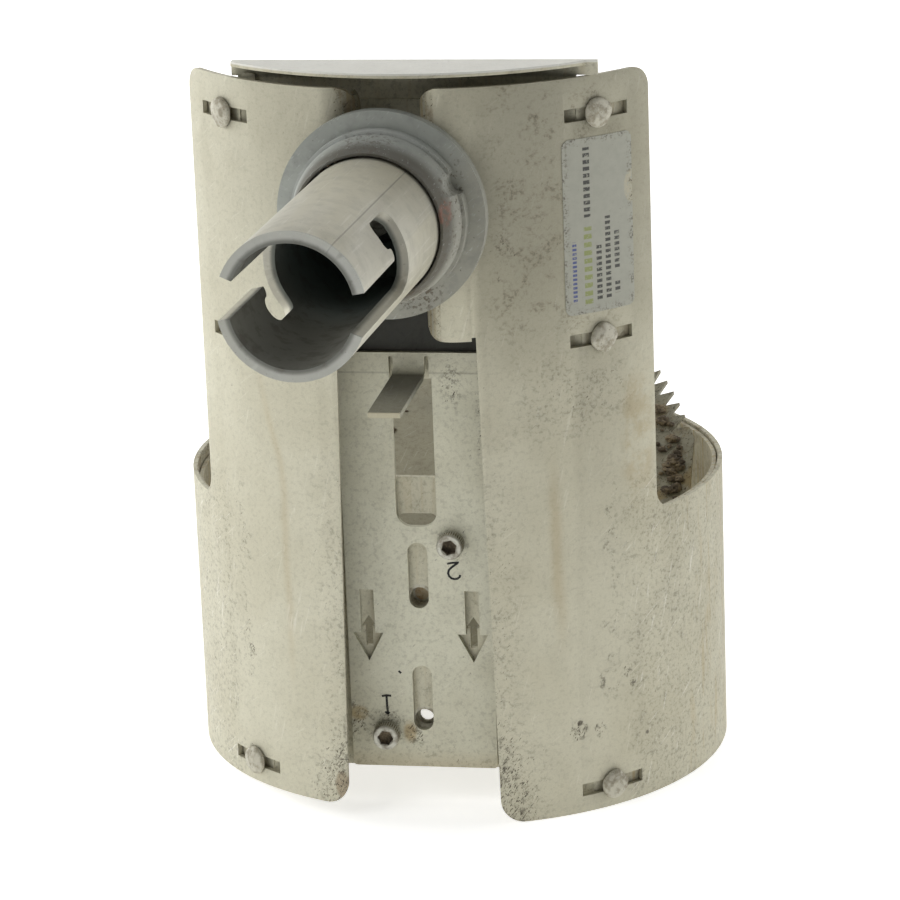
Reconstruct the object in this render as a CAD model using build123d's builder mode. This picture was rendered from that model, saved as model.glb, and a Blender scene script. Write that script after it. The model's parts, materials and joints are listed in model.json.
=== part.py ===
from build123d import *
from math import asin, cos, degrees, radians, sin, sqrt, tan
import os

# One-way rodent barrier for a 150 mm drain pipe, in millimetres.
# The pipe axis is +Z, the front with the gap and the key socket faces -Y, and z = 0 is the foot.
# Angles round the pipe axis are counted from the front, positive towards +X.

os.makedirs("parts", exist_ok=True)

# Outer shells, two bent sheets that slide round the inner frame
shell_radius = 72.0
shell_sheet = 1.3
shell_height = 196.0
ring_height = 78.0
left_foot = 4.0            # the left shell is this much shorter at the foot
left_ring_rise = 2.4       # and its ring part stands this much higher
gap_half_top = 14.4        # degrees
gap_half_foot = 16.3       # degrees
panel_half = 55.6          # degrees, outer edge of the tall front panels
rear_half_gap = 5.0        # degrees, between each shell and the rear centre line
panel_lap = 1.0            # the lower panel runs this far past the lips' foot
gap_trim = 2.0             # degrees of sheet cut away to shape the gap
panel_corner = 5.5
notch_corner = 5.0
foot_corner = 6.5

# Curled lips on the panels, which the cam pushes apart
lip_gap_half = 8.0
lip_curl_radius = 7.0
lip_end_gap = 4.1          # between the lips' ends and the base plate
lip_drop = 34.0            # the lips' foot, below the socket's axis
lip_corner = 4.0
lip_head_round = 6.0          # seen from the front, where the lip meets the panel head
lip_foot_round = 4.5
lip_window_width = 3.2
lip_window_height = 7.0
lip_window_rise = 10.0     # above the socket's axis
lip_window_shift = 6.4     # the left window stands this much further out

# Slots and guide rivets
slot_angle = 41.8          # degrees
slot_span = 15.2           # degrees
slot_height = 3.4
slot_top_drop = 9.5        # below the panels' head
slot_middle_z = 128.2
slot_foot_rise = 6.2
rivet_shank_radius = 1.4
rivet_head_radius = 3.9
rivet_head = 1.3
rivet_button_radius = 1.9
rivet_button = 0.35
rivet_taper = 18.0         # degrees
rivet_tail_radius = 2.6
rivet_tail = 1.0
rivet_tail_gap = 0.1

# Inner frame: flat base plate, wings, liner
running_gap = 0.3
frame_sheet = 1.2
base_sheet = 1.5
base_set_in = 0.277          # the flat face, inside the line where the bends start
base_lap = 0.15              # the flat runs this far into each bend
base_foot = 10.5
base_toe_inner = 26.0        # the flat face reaches the wings' foot beyond here
head_rise = 4.0              # above the panels' head
head_left = -44.7
head_right = 48.6
head_tab_x = -40.2
head_tab_width = 3.6
head_tab_rise = 1.2
head_tab_height = 7.2
head_tab_sheet = 1.2
head_tab_corner = 1.0
block_left_reach = 9.3       # bearing block behind the disc, from the socket's axis
block_right_reach = 10.7
block_below = 15.0
block_above = 25.4
block_sheet = 1.5
block_corner = 1.5
wing_start = 37.6          # degrees
wing_end = 53.4            # degrees
wing_foot_rise = 2.5
wing_drop = 1.0            # below the panels' head
liner_start = 54.0         # degrees
liner_foot = 5.0
liner_drop = 0.6
strap_start = 46.5         # degrees
strap_end = 61.5           # degrees
strap_bottom = 12.0
strap_drop = 8.0           # below the ring's top
strap_rivet_radius = 2.0
strap_rivet_head_radius = 3.2
strap_rivet_head = 0.8
strap_rivet_inset = 12.0   # from the strap's ends
strap_rivet_sink = 0.06    # the shank stops short of the wing's face
strap_head_sink = 0.09     # and the head stops short of the strap
strap_rivet_angles = (50.0, 58.0)

# Slide plate, its tab, screws and marks
plate_x = -1.6
slide_half = 19.3
slide_sheet = 1.4
slide_foot = 10.8
slide_drop = 40.6            # below the socket's axis
slide_corner = 1.0
slide_travel = 10.0
tab_x = -1.9
tab_width = 8.2
tab_bend_radius = 3.0
tab_root_drop = 6.8          # below the plate's top
tab_length = 36.0
relief_width = 1.1
relief_drop = 0.9            # below the plate's top
window_x = -1.4
window_width = 10.6
window_bottom = 77.5
window_corner = 4.0
guide_slot_width = 5.2
guide_slot_length = 18.0
guide_slot_levels = (64.1, 30.1)
eyelet_wall = 0.8
eyelet_length = 4.5
eyelet_end = 1.0
eyelet_hole_radius = 1.9
stud_proud = 0.25
arrow_offset = 13.9
arrow_top = 60.0
arrow_neck = 48.0
arrow_tip = 40.3
arrow_shaft = 3.7
arrow_head = 8.0
counter_arrow_scale = 0.5
counter_stem = -4.2          # levels of the small arrows, from the neck of the large ones
counter_neck = 1.3
counter_tip = 4.3
base_window_bottom = 90.5
base_window_drop = 0.6       # below the tab's root
base_window_margin = 2.0     # wider than the plate's window, each side
base_window_corner = 2.0
low_window_bottom = 75.5
low_window_top = 80.6
screw_places = ((-11.4, 20.0), (7.5, 73.1))
screw_radius = 2.0
screw_head_radius = 3.5
screw_head = 4.0
screw_hex = 3.6
screw_hex_depth = 2.2
screw_head_round = 0.4
screw_hole_play = 0.05
screw_slot_play = 0.35
nut_thickness = 1.8
nut_size = 7.0
nut_gap = 0.35
screw_end = 0.3

# Key socket, cam and bearing, on an axis that leans a little to the left
socket_x = -3.7
socket_drop = 31.0           # below the panels' head
socket_stand_off = 0.9       # between the shells' face and the disc's back
socket_lean = 3.2          # degrees
socket_radius = 17.9
socket_wall = 2.9
socket_length = 91.0
socket_floor_sheet = 8.0
socket_floor_ledge = 1.5     # the floor's seat in the tube
socket_floor_sink = 4.1      # depth of the pocket for the bolt head
socket_floor_pocket = 6.2
bayonet_width = 34.5       # degrees
bayonet_start = 78.0       # degrees clockwise from up, seen from the open end
bayonet_hook = 35.0        # degrees the hook runs back
bayonet_nub = 10.0         # degrees, the catch at the tongue's tip
bayonet_depth = 42.0
bayonet_hook_width = 11.7
bayonet_recess = 4.2
bayonet_corner = 3.5
bayonet_nub_corner = 1.2
bayonet_recess_corner = 2.8
disc_rim = 4.3               # the disc stands out this far round the boss
disc_sheet = 3.2
boss_wall = 4.5
boss_step = 6.6
boss_ledge = 0.9
boss_shoulder = 8.6
boss_top = 17.6
boss_top_wall = 1.3
boss_recess = 3.0
boss_recess_gap = 0.6
boss_notch_radius = 3.2
boss_notch_out = 1.0
boss_notch_angle = 25.0      # degrees
cam_clearance = 0.436        # between the cam and each lip, at rest
cam_half_short = 3.8
cam_sheet = 4.0
cam_hub_radius = 3.6
bolt_radius = 2.5
bolt_clearance = 0.05
bolt_head = 3.5
bolt_head_size = 8.0
bush_radius = 5.5
bush_collar_radius = 7.5
bush_play = 0.35
bush_collar = 1.4
bush_collar_gap = 0.55       # clear of the bearing block, because the axis leans
bush_end = 0.4
lock_nut = 4.0
lock_washer = 1.0
lock_washer_radius = 5.0
bolt_end = 1.5

# Flap and its hinge
hinge_set_back = 7.5       # behind the base plate
hinge_z = 17.0
hinge_pin_radius = 1.5
pin_end = 0.8
pin_head_wall = 1.05
pin_head = 1.6
hinge_clearance = 0.06
barrel_radius = 3.0
flap_slope = 39.5          # degrees above the foot plane, at rest
flap_sheet = 1.5
flap_tip_gap = 2.2         # between the teeth and the liner
flap_side_gap = 7.2        # between the widest part and the liner
flap_shoulder = 70.0
flap_waist = ((18.0, 14.0), (9.0, 50.0), (7.0, 61.0))  # narrower by, at a distance up the slope
flap_foot = (5.0, 8.5)
flap_foot_overhang = 1.5
flap_last_rise = 3.5
tooth_depth = 4.4
tooth_count = 44
tooth_span = 129.0         # degrees
leaf_gap = 3.0             # between the leaf and each lug
leaf_length = 17.0
leaf_start = 1.5
leaf_sheet = 1.2
hinge_notch_x = -3.0
hinge_notch_half = 5.0
hinge_notch_depth = 10.5
flap_rivet_pitch = 19.6
flap_rivet_count = 4
flap_rivet_inset = 3.0
flap_rivet_head = 0.7
lug_inset = 4.1            # from the base plate's edge
lug_sheet = 1.5
lug_height = 10.0
lug_corner = 1.5
lug_foot = 12.0
lug_reach = 4.0
lug_rivet_inset = 5.5
lug_rivet_head = 0.8
stop_y = 15.0
stop_radius = 2.2
stop_clearance = 0.4
stop_bearing = 3.5         # how far the flap lies over each stop

# Label on the right shell
label_start = 33.4         # degrees
label_end = 50.2           # degrees
label_drop = 15.6          # below the panels' head
label_height = 45.4
label_sheet = 0.15
label_corner = 2.0

cut = 6.0                  # deep enough to cut through one sheet
deep_cut = 10.0            # deep enough to cut through the block and the base

# Worked-out radii and levels
shell_inner = shell_radius - shell_sheet
frame_radius = shell_inner - running_gap
frame_inner = frame_radius - frame_sheet
strap_inner = frame_inner - frame_sheet
gap_root = gap_half_top - gap_trim
base_front_y = base_set_in - frame_radius * cos(radians(wing_start))
base_half = frame_radius * sin(radians(wing_start)) + base_lap
base_back_y = base_front_y + base_sheet
base_top = shell_height + head_rise
wing_top = shell_height - wing_drop
socket_z = shell_height - socket_drop
socket_back_y = -shell_radius - socket_stand_off
lip_end_y = base_front_y - lip_end_gap
lip_bottom = socket_z - lip_drop
panel_step_height = lip_bottom + panel_lap
slot_top_z = shell_height - slot_top_drop
slide_top = socket_z - slide_drop
tab_root_z = slide_top - tab_root_drop
label_top = shell_height - label_drop
strap_top = ring_height - strap_drop
strap_rivet_levels = (strap_bottom + strap_rivet_inset, strap_top - strap_rivet_inset)
boss_radius = socket_radius + boss_wall
disc_radius = boss_radius + disc_rim
cam_depth = base_front_y - socket_back_y - block_sheet - bush_collar_gap - bush_collar - bush_play
cam_half_long = sqrt(2 * (lip_gap_half - cam_clearance) ** 2 - cam_half_short**2)
bush_depth = block_sheet + base_sheet + bush_end
hinge_y = base_back_y + hinge_set_back
lug_x = base_half - lug_inset
lug_rivet_x = lug_x - lug_rivet_inset
leaf_half = lug_x - leaf_gap
flap_tip_radius = frame_inner - flap_tip_gap
flap_root_radius = flap_tip_radius - tooth_depth
flap_side_half = frame_inner - flap_side_gap
screw_slot_radius = screw_radius + screw_slot_play
slide_back_y = base_front_y - running_gap
slide_front_y = slide_back_y - slide_sheet
flap_cos = cos(radians(flap_slope))
flap_sin = sin(radians(flap_slope))
lean_sin = sin(radians(socket_lean))
lean_cos = cos(radians(socket_lean))
sides = {"left": -1, "right": 1}
eyelet_bore = guide_slot_width / 2
eyelet_radius = eyelet_bore + eyelet_wall
eyelet_levels = [z - guide_slot_length / 2 + eyelet_bore for z in guide_slot_levels]


def around(radius, angle):
    """The plan point at a radius and an angle from the front."""
    return (radius * sin(radians(angle)), -radius * cos(radians(angle)))


def bent_sheet(outer, inner, start, end):
    """Plan of a sheet bent round the pipe axis, between two angles from the front."""
    with BuildSketch() as plan:
        with BuildLine():
            CenterArc((0, 0), outer, start - 90, end - start)
            CenterArc((0, 0), inner, start - 90, end - start)
            Line(around(outer, start), around(inner, start))
            Line(around(outer, end), around(inner, end))
        make_face()
    return plan.sketch


def radial_plane(angle, level, radius):
    """A plane facing outwards at an angle from the front, with its x axis level."""
    outwards = (sin(radians(angle)), -cos(radians(angle)), 0)
    along = (cos(radians(angle)), sin(radians(angle)), 0)
    x, y = around(radius, angle)
    return Plane(origin=(x, y, level), x_dir=along, z_dir=outwards)


def front_plane(y):
    """A plane facing the front, with +X to the right and +Z up."""
    return Plane(origin=(0, y, 0), x_dir=(1, 0, 0), z_dir=(0, -1, 0))


def socket_plane(out):
    """A plane across the socket's leaning axis, a distance outwards from the disc's back."""
    return Plane(
        origin=(socket_x - out * lean_sin, socket_back_y - out * lean_cos, socket_z),
        x_dir=(lean_cos, -lean_sin, 0),
        z_dir=(-lean_sin, -lean_cos, 0),
    )


def flap_plane(offset):
    """The flap's plane: x across, y up the slope from the hinge axis, offset to its upper face."""
    return Plane(
        origin=(0, hinge_y - offset * flap_sin, hinge_z + offset * flap_cos),
        x_dir=(1, 0, 0),
        z_dir=(0, -flap_sin, flap_cos),
    )


def foot_of(side):
    return left_foot if side < 0 else 0.0


def slot_levels(side):
    return (foot_of(side) + slot_foot_rise, slot_middle_z, slot_top_z)


def finish(piece, name):
    """Labels a finished piece and writes it."""
    piece.label = name
    export_step(piece, f"parts/{name}.step")


# ---- shells ----

def lip_frame(side):
    """The lip's cam face, the centre of its curl and the angle where the curl starts."""
    cam_out = -cam_depth + cam_sheet / 2
    face_x = socket_x - cam_out * lean_sin + side * lip_gap_half
    centre_x = face_x + side * lip_curl_radius
    centre_y = -sqrt((shell_radius - lip_curl_radius) ** 2 - centre_x**2)
    bend = degrees(asin(centre_x / (shell_radius - lip_curl_radius)))
    return face_x, centre_x, centre_y, bend


def lip_plan(side):
    """Plan of the curled lip: round from the shell's face, then straight in towards the axis."""
    face_x, centre_x, centre_y, bend = lip_frame(side)
    root = bend + side * 3
    with BuildSketch() as plan:
        with BuildLine():
            for shell, curl in ((shell_radius, lip_curl_radius),
                                (shell_inner, lip_curl_radius - shell_sheet)):
                sideways = face_x if curl == lip_curl_radius else face_x + side * shell_sheet
                halfway = Vector(sin(radians(bend)) - side, -cos(radians(bend))).normalized() * curl
                CenterArc((0, 0), shell, root - 90, bend - root)
                ThreePointArc(around(shell, bend), Vector(centre_x, centre_y) + halfway,
                              (sideways, centre_y))
                Line((sideways, centre_y), (sideways, lip_end_y))
            Line((face_x, lip_end_y), (face_x + side * shell_sheet, lip_end_y))
            Line(around(shell_radius, root), around(shell_inner, root))
        make_face()
    return plan.sketch


for name, side in sides.items():
    foot = foot_of(side)
    ring_top = ring_height + (left_ring_rise if side < 0 else 0.0)
    with BuildPart() as shell:
        with BuildSketch(Plane.XY.offset(foot)):
            add(bent_sheet(shell_radius, shell_inner, side * gap_root, side * (180 - rear_half_gap)))
        extrude(amount=ring_top - foot)
        with BuildSketch(Plane.XY.offset(foot)):
            add(bent_sheet(shell_radius, shell_inner, side * gap_root, side * panel_half))
        extrude(amount=panel_step_height - foot)
        gap_top_x = side * shell_radius * sin(radians(gap_half_top))
        gap_foot_x = side * shell_radius * sin(radians(gap_half_foot))
        corner_x = gap_foot_x + side * foot_corner
        corner_middle = (corner_x - side * foot_corner * cos(radians(45)),
                         foot + foot_corner * (1 - sin(radians(45))))
        with BuildSketch(front_plane(-shell_inner * cos(radians(gap_half_foot)) + 4)):
            with BuildLine():
                Polyline((gap_foot_x, foot + foot_corner), (gap_top_x, panel_step_height + 1),
                         (0, panel_step_height + 1), (0, foot - 1), (corner_x, foot - 1), (corner_x, foot))
                ThreePointArc((corner_x, foot), corner_middle, (gap_foot_x, foot + foot_corner))
            make_face()
        extrude(amount=shell_radius / 4, mode=Mode.SUBTRACT)
        with BuildSketch(Plane.XY.offset(lip_bottom)):
            add(lip_plan(side))
        extrude(amount=shell_height - lip_bottom)
        with BuildSketch(Plane.XY.offset(panel_step_height)):
            add(bent_sheet(shell_radius, shell_inner, lip_frame(side)[3], side * panel_half))
        extrude(amount=shell_height - panel_step_height)

        # Rounded corners, on the short edges that cross the sheet
        across = shell.edges().filter_by(lambda e: abs(e.length - shell_sheet) < 0.01)
        outer_edge = across.filter_by(
            lambda e: abs(e.center().Y + shell_radius * cos(radians(panel_half))) < 1.2)
        fillet(outer_edge.filter_by_position(Axis.Z, shell_height - 1, shell_height + 1), panel_corner)
        across = shell.edges().filter_by(lambda e: abs(e.length - shell_sheet) < 0.01)
        notch = across.filter_by_position(Axis.Z, ring_top - 0.5, ring_top + 0.5)
        fillet(notch.sort_by(Axis.Y)[0], notch_corner)
        lip_edges = shell.edges().filter_by(lambda e: abs(e.center().Y - lip_end_y) < 0.1)
        fillet(lip_edges.filter_by(lambda e: abs(e.length - shell_sheet) < 0.01), lip_corner)
        face_x = lip_frame(side)[0]
        for level, inwards, size in ((shell_height, -1, lip_head_round), (lip_bottom, 1, lip_foot_round)):
            with BuildSketch(front_plane(lip_end_y + 1)):
                with Locations((face_x + side * (size - 2) / 2, level + inwards * (size - 2) / 2)):
                    Rectangle(size + 2, size + 2)
                with Locations((face_x + side * size, level + inwards * size)):
                    Circle(size, mode=Mode.SUBTRACT)
            extrude(amount=shell_radius / 4, mode=Mode.SUBTRACT)

        for level in slot_levels(side):
            with BuildSketch(Plane.XY.offset(level - slot_height / 2)):
                add(bent_sheet(shell_radius + 1, shell_inner - 1,
                               side * (slot_angle - slot_span / 2), side * (slot_angle + slot_span / 2)))
            extrude(amount=slot_height, mode=Mode.SUBTRACT)
        window_x_mid = side * (shell_radius * sin(radians(gap_half_top)) - lip_window_width / 2)
        if side < 0:
            window_x_mid -= lip_window_shift
        with BuildSketch(front_plane(deep_cut / 2 - shell_inner)):
            with Locations((window_x_mid, socket_z + lip_window_rise)):
                Rectangle(lip_window_width, lip_window_height)
        extrude(amount=deep_cut, mode=Mode.SUBTRACT)
    finish(shell.part, f"{name}_shell")

with BuildPart() as label:
    with BuildSketch(Plane.XY.offset(label_top - label_height)):
        add(bent_sheet(shell_radius + label_sheet, shell_radius, label_start, label_end))
    extrude(amount=label_height)
    corners = label.edges().filter_by(lambda e: abs(e.length - label_sheet) < 0.01)
    fillet(corners, label_corner)
finish(label.part, "label")

# ---- inner frame ----

with BuildPart() as base:
    with BuildSketch(front_plane(base_front_y)):
        with Locations((0, (base_foot + base_top) / 2)):
            Rectangle(2 * base_half, base_top - base_foot)
        for side in sides.values():
            toe_foot = foot_of(side) + wing_foot_rise
            with Locations((side * (base_half + base_toe_inner) / 2, (toe_foot + base_foot) / 2)):
                Rectangle(base_half - base_toe_inner, base_foot - toe_foot)
        with Locations(((head_left + head_right) / 2, (shell_height + running_gap + base_top) / 2)):
            Rectangle(head_right - head_left, base_top - shell_height - running_gap)
    extrude(amount=-base_sheet)
    for side in sides.values():
        with BuildSketch(Plane.XY.offset(foot_of(side) + wing_foot_rise)):
            add(bent_sheet(frame_radius, frame_inner, side * wing_start, side * wing_end))
        extrude(amount=wing_top - foot_of(side) - wing_foot_rise)
    # Half-moon lip across the head, bent forward as far as the shells' face
    with BuildSketch(Plane.XY.offset(base_top - frame_sheet)):
        Circle(shell_radius)
        with Locations((0, base_back_y)):
            Rectangle(4 * shell_radius, 4 * shell_radius, align=(Align.CENTER, Align.MIN),
                      mode=Mode.SUBTRACT)
        with Locations((head_left, base_front_y)):
            Rectangle(shell_radius, 2 * shell_radius, align=(Align.MAX, Align.CENTER), mode=Mode.SUBTRACT)
    extrude(amount=frame_sheet)
    with BuildSketch(front_plane(base_front_y)):
        with Locations((head_tab_x, shell_height + head_tab_rise - head_tab_height / 2)):
            RectangleRounded(head_tab_width, head_tab_height, head_tab_corner)
    extrude(amount=head_tab_sheet)
    # Windows behind the slide plate's window
    with BuildSketch(front_plane(base_front_y)):
        for x, half, bottom, top, corner in (
                (window_x, window_width / 2 + base_window_margin, base_window_bottom,
                 tab_root_z - base_window_drop, base_window_corner),
                (window_x, window_width / 2, low_window_bottom, low_window_top, base_window_corner)):
            with Locations((x, (bottom + top) / 2)):
                RectangleRounded(2 * half, top - bottom, corner)
        for x, z in screw_places:
            with Locations((x, z - slide_travel / 2)):
                SlotOverall(slide_travel + 2 * screw_slot_radius, 2 * screw_slot_radius, rotation=90)
        for z in eyelet_levels:
            with Locations((plate_x, z)):
                Circle(eyelet_radius)
        for x in (-lug_rivet_x, lug_rivet_x):
            with Locations((x, hinge_z)):
                Circle(rivet_shank_radius)
    extrude(amount=-base_sheet, mode=Mode.SUBTRACT)
    # Small arrows that point back up under the slide plate's arrows
    for offset in (-arrow_offset, arrow_offset):
        with BuildSketch(front_plane(base_front_y)):
            half = counter_arrow_scale * arrow_head / 2
            stem = counter_arrow_scale * arrow_shaft / 2
            with BuildLine(Location((plate_x + offset, arrow_neck))):
                Polyline((-stem, counter_stem), (stem, counter_stem), (stem, counter_neck),
                         (half, counter_neck), (0, counter_tip), (-half, counter_neck),
                         (-stem, counter_neck), close=True)
            make_face()
        extrude(amount=-base_sheet, mode=Mode.SUBTRACT)
    with BuildSketch(socket_plane(-cam_depth)):
        Circle(bush_radius)
    extrude(amount=-deep_cut, mode=Mode.SUBTRACT)
    for side in sides.values():
        for level in slot_levels(side):
            with BuildSketch(radial_plane(side * slot_angle, level, frame_inner - cut / 2)):
                Circle(rivet_shank_radius)
            extrude(amount=cut, mode=Mode.SUBTRACT)
        for angle in strap_rivet_angles[:1]:
            for level in strap_rivet_levels:
                with BuildSketch(radial_plane(side * angle, level, frame_inner - cut / 2)):
                    Circle(strap_rivet_radius)
                extrude(amount=cut, mode=Mode.SUBTRACT)
finish(base.part, "base_plate")

with BuildPart() as liner:
    with BuildSketch(Plane.XY.offset(liner_foot)):
        add(bent_sheet(frame_radius, frame_inner, liner_start, 360 - liner_start))
    extrude(amount=ring_height - liner_drop - liner_foot)
    for side in sides.values():
        for level in strap_rivet_levels:
            with BuildSketch(radial_plane(side * strap_rivet_angles[1], level, frame_inner - cut / 2)):
                Circle(strap_rivet_radius)
            extrude(amount=cut, mode=Mode.SUBTRACT)
finish(liner.part, "liner")

for name, side in sides.items():
    with BuildPart() as strap:
        with BuildSketch(Plane.XY.offset(strap_bottom)):
            add(bent_sheet(frame_inner, strap_inner, side * strap_start, side * strap_end))
        extrude(amount=strap_top - strap_bottom)
        for angle in strap_rivet_angles:
            for level in strap_rivet_levels:
                with BuildSketch(radial_plane(side * angle, level, frame_inner - cut / 2)):
                    Circle(strap_rivet_radius)
                extrude(amount=cut, mode=Mode.SUBTRACT)
    finish(strap.part, f"{name}_liner_strap")

with BuildPart() as strap_rivets:
    for side in sides.values():
        for angle in strap_rivet_angles:
            for level in strap_rivet_levels:
                with BuildSketch(radial_plane(side * angle, level, strap_inner)):
                    Circle(strap_rivet_radius)
                extrude(amount=frame_radius - strap_inner - strap_rivet_sink)
                with BuildSketch(radial_plane(side * angle, level, strap_inner - strap_rivet_head)):
                    Circle(strap_rivet_head_radius)
                extrude(amount=strap_rivet_head - strap_head_sink)
finish(strap_rivets.part, "strap_rivets")

# Guide rivets: a flat head outside the slot, a small button on it, a tail inside the wing
with BuildPart() as guide_rivets:
    for side in sides.values():
        for level in slot_levels(side):
            angle = side * slot_angle
            head_radius = shell_radius + running_gap
            with BuildSketch(radial_plane(angle, level, head_radius)):
                Circle(rivet_head_radius)
            extrude(amount=rivet_head, taper=rivet_taper)
            with BuildSketch(radial_plane(angle, level, head_radius + rivet_head)):
                Circle(rivet_button_radius)
            extrude(amount=rivet_button)
            with BuildSketch(radial_plane(angle, level, frame_inner - rivet_tail)):
                Circle(rivet_shank_radius)
            extrude(amount=head_radius - frame_inner + rivet_tail)
            with BuildSketch(radial_plane(angle, level, frame_inner - rivet_tail - rivet_tail_gap)):
                Circle(rivet_tail_radius)
            extrude(amount=rivet_tail)
finish(guide_rivets.part, "guide_rivets")

with BuildPart() as bush:
    with BuildSketch(socket_plane(-cam_depth - bush_play)):
        Circle(bush_collar_radius)
        Circle(bolt_radius + bolt_clearance, mode=Mode.SUBTRACT)
    extrude(amount=-bush_collar)
    with BuildSketch(socket_plane(-cam_depth - bush_play - bush_collar)):
        Circle(bush_radius)
        Circle(bolt_radius + bolt_clearance, mode=Mode.SUBTRACT)
    extrude(amount=-bush_depth)
finish(bush.part, "cam_bush")

# Eyelets behind the guide slots' lower ends, the upper one closed by a plug
with BuildPart() as eyelets:
    with BuildSketch(front_plane(base_front_y)):
        for z in eyelet_levels:
            with Locations((plate_x, z)):
                Circle(eyelet_radius)
    extrude(amount=-eyelet_length)
    with BuildSketch(front_plane(base_front_y)):
        for z in eyelet_levels:
            with Locations((plate_x, z)):
                Circle(eyelet_bore)
    extrude(amount=eyelet_end - eyelet_length, mode=Mode.SUBTRACT)
    with BuildSketch(front_plane(base_front_y)):
        for z in eyelet_levels:
            with Locations((plate_x, z)):
                Circle(eyelet_hole_radius)
    extrude(amount=-eyelet_length, mode=Mode.SUBTRACT)
finish(eyelets.part, "guide_eyelets")

with BuildPart() as plug:
    with BuildSketch(front_plane(base_front_y + eyelet_length - eyelet_end - stud_proud)):
        with Locations((plate_x, eyelet_levels[0])):
            Circle(eyelet_hole_radius)
    extrude(amount=-eyelet_end - stud_proud)
finish(plug.part, "guide_stud")

with BuildPart() as block:
    with BuildSketch(front_plane(base_front_y)):
        with Locations((socket_x + (block_right_reach - block_left_reach) / 2,
                        socket_z + (block_above - block_below) / 2)):
            RectangleRounded(block_left_reach + block_right_reach, block_below + block_above, block_corner)
    extrude(amount=block_sheet)
    with BuildSketch(socket_plane(-cam_depth)):
        Circle(bush_radius)
    extrude(amount=-deep_cut, mode=Mode.SUBTRACT)
finish(block.part, "bearing_block")

# ---- hinge lugs, pin and stops ----

for name, side in sides.items():
    with BuildPart() as lug:
        with BuildSketch(Plane.YZ.offset(side * lug_x)):
            with Locations(((base_back_y + hinge_y + lug_reach) / 2, hinge_z)):
                RectangleRounded(hinge_y + lug_reach - base_back_y, lug_height, lug_corner)
        extrude(amount=side * lug_sheet)
        with BuildSketch(front_plane(base_back_y)):
            with Locations((side * (lug_x + lug_sheet - lug_foot / 2), hinge_z)):
                Rectangle(lug_foot, lug_height)
            with Locations((side * lug_rivet_x, hinge_z)):
                Circle(rivet_shank_radius, mode=Mode.SUBTRACT)
        extrude(amount=-lug_sheet)
        with BuildSketch(Plane.YZ.offset(side * lug_x)):
            with Locations((hinge_y, hinge_z)):
                Circle(hinge_pin_radius)
        extrude(amount=side * lug_sheet, mode=Mode.SUBTRACT)
    finish(lug.part, f"{name}_hinge_lug")

with BuildPart() as lug_rivets:
    for x in (-lug_rivet_x, lug_rivet_x):
        with BuildSketch(front_plane(base_back_y + lug_sheet)):
            with Locations((x, hinge_z)):
                Circle(rivet_shank_radius)
        extrude(amount=lug_sheet + base_sheet)
        for y in (base_front_y, base_back_y + lug_sheet + lug_rivet_head):
            with BuildSketch(front_plane(y)):
                with Locations((x, hinge_z)):
                    Circle(2 * rivet_shank_radius)
            extrude(amount=lug_rivet_head)
finish(lug_rivets.part, "lug_rivets")

with BuildPart() as hinge_pin:
    pin_half = lug_x + lug_sheet + pin_end
    with BuildSketch(Plane.YZ.offset(-pin_half)):
        with Locations((hinge_y, hinge_z)):
            Circle(hinge_pin_radius)
    extrude(amount=2 * pin_half)
    for x in (-pin_half, pin_half):
        with BuildSketch(Plane.YZ.offset(x - pin_head / 2)):
            with Locations((hinge_y, hinge_z)):
                Circle(hinge_pin_radius + pin_head_wall)
        extrude(amount=pin_head)
finish(hinge_pin.part, "hinge_pin")

with BuildPart() as stops:
    under = (flap_sheet / 2 + stop_radius + stop_clearance) / flap_cos
    stop_z = hinge_z + (stop_y - hinge_y) * tan(radians(flap_slope)) - under
    reach = sqrt(frame_inner**2 - stop_y**2)
    stop_inner_x = flap_side_half - stop_bearing
    for side in sides.values():
        with BuildSketch(Plane.YZ.offset(side * stop_inner_x)):
            with Locations((stop_y, stop_z)):
                Circle(stop_radius)
        extrude(amount=side * (reach - stop_inner_x))
    with BuildSketch(Plane.XY):
        Circle(frame_inner)
    extrude(amount=ring_height, mode=Mode.INTERSECT)
finish(stops.part, "flap_stops")

# ---- flap ----


def across_flap(radius, turn):
    """A point on the flap, where a cylinder round the pipe axis meets its plane."""
    return (radius * sin(radians(turn)), (radius * cos(radians(turn)) - hinge_y) / flap_cos)


tooth_pitch = tooth_span / (tooth_count - 1)
rim = []
for tooth in range(tooth_count):
    turn = tooth_span / 2 - tooth * tooth_pitch
    rim.append(across_flap(flap_tip_radius, turn))
    if tooth < tooth_count - 1:
        rim.append(across_flap(flap_root_radius, turn - tooth_pitch / 2))
side_points = [(leaf_half + flap_foot_overhang, up) for up in flap_foot]
side_points += [(flap_side_half - narrower, up) for narrower, up in flap_waist]
side_points += [(flap_side_half, flap_shoulder), (flap_side_half, rim[0][1] - flap_last_rise)]
left_points = [(-x, y) for x, y in reversed(side_points)]

with BuildPart() as flap:
    with BuildSketch(flap_plane(-flap_sheet / 2)):
        with BuildLine():
            Polyline(*side_points, *rim, *left_points, close=True)
        make_face()
        with Locations((0, leaf_length - flap_rivet_inset)):
            with GridLocations(flap_rivet_pitch, 0, flap_rivet_count, 1):
                Circle(rivet_shank_radius, mode=Mode.SUBTRACT)
        with Locations((hinge_notch_x, 0)):
            Rectangle(2 * hinge_notch_half, 2 * hinge_notch_depth, mode=Mode.SUBTRACT)
    extrude(amount=flap_sheet)
finish(flap.part, "flap")

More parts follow.
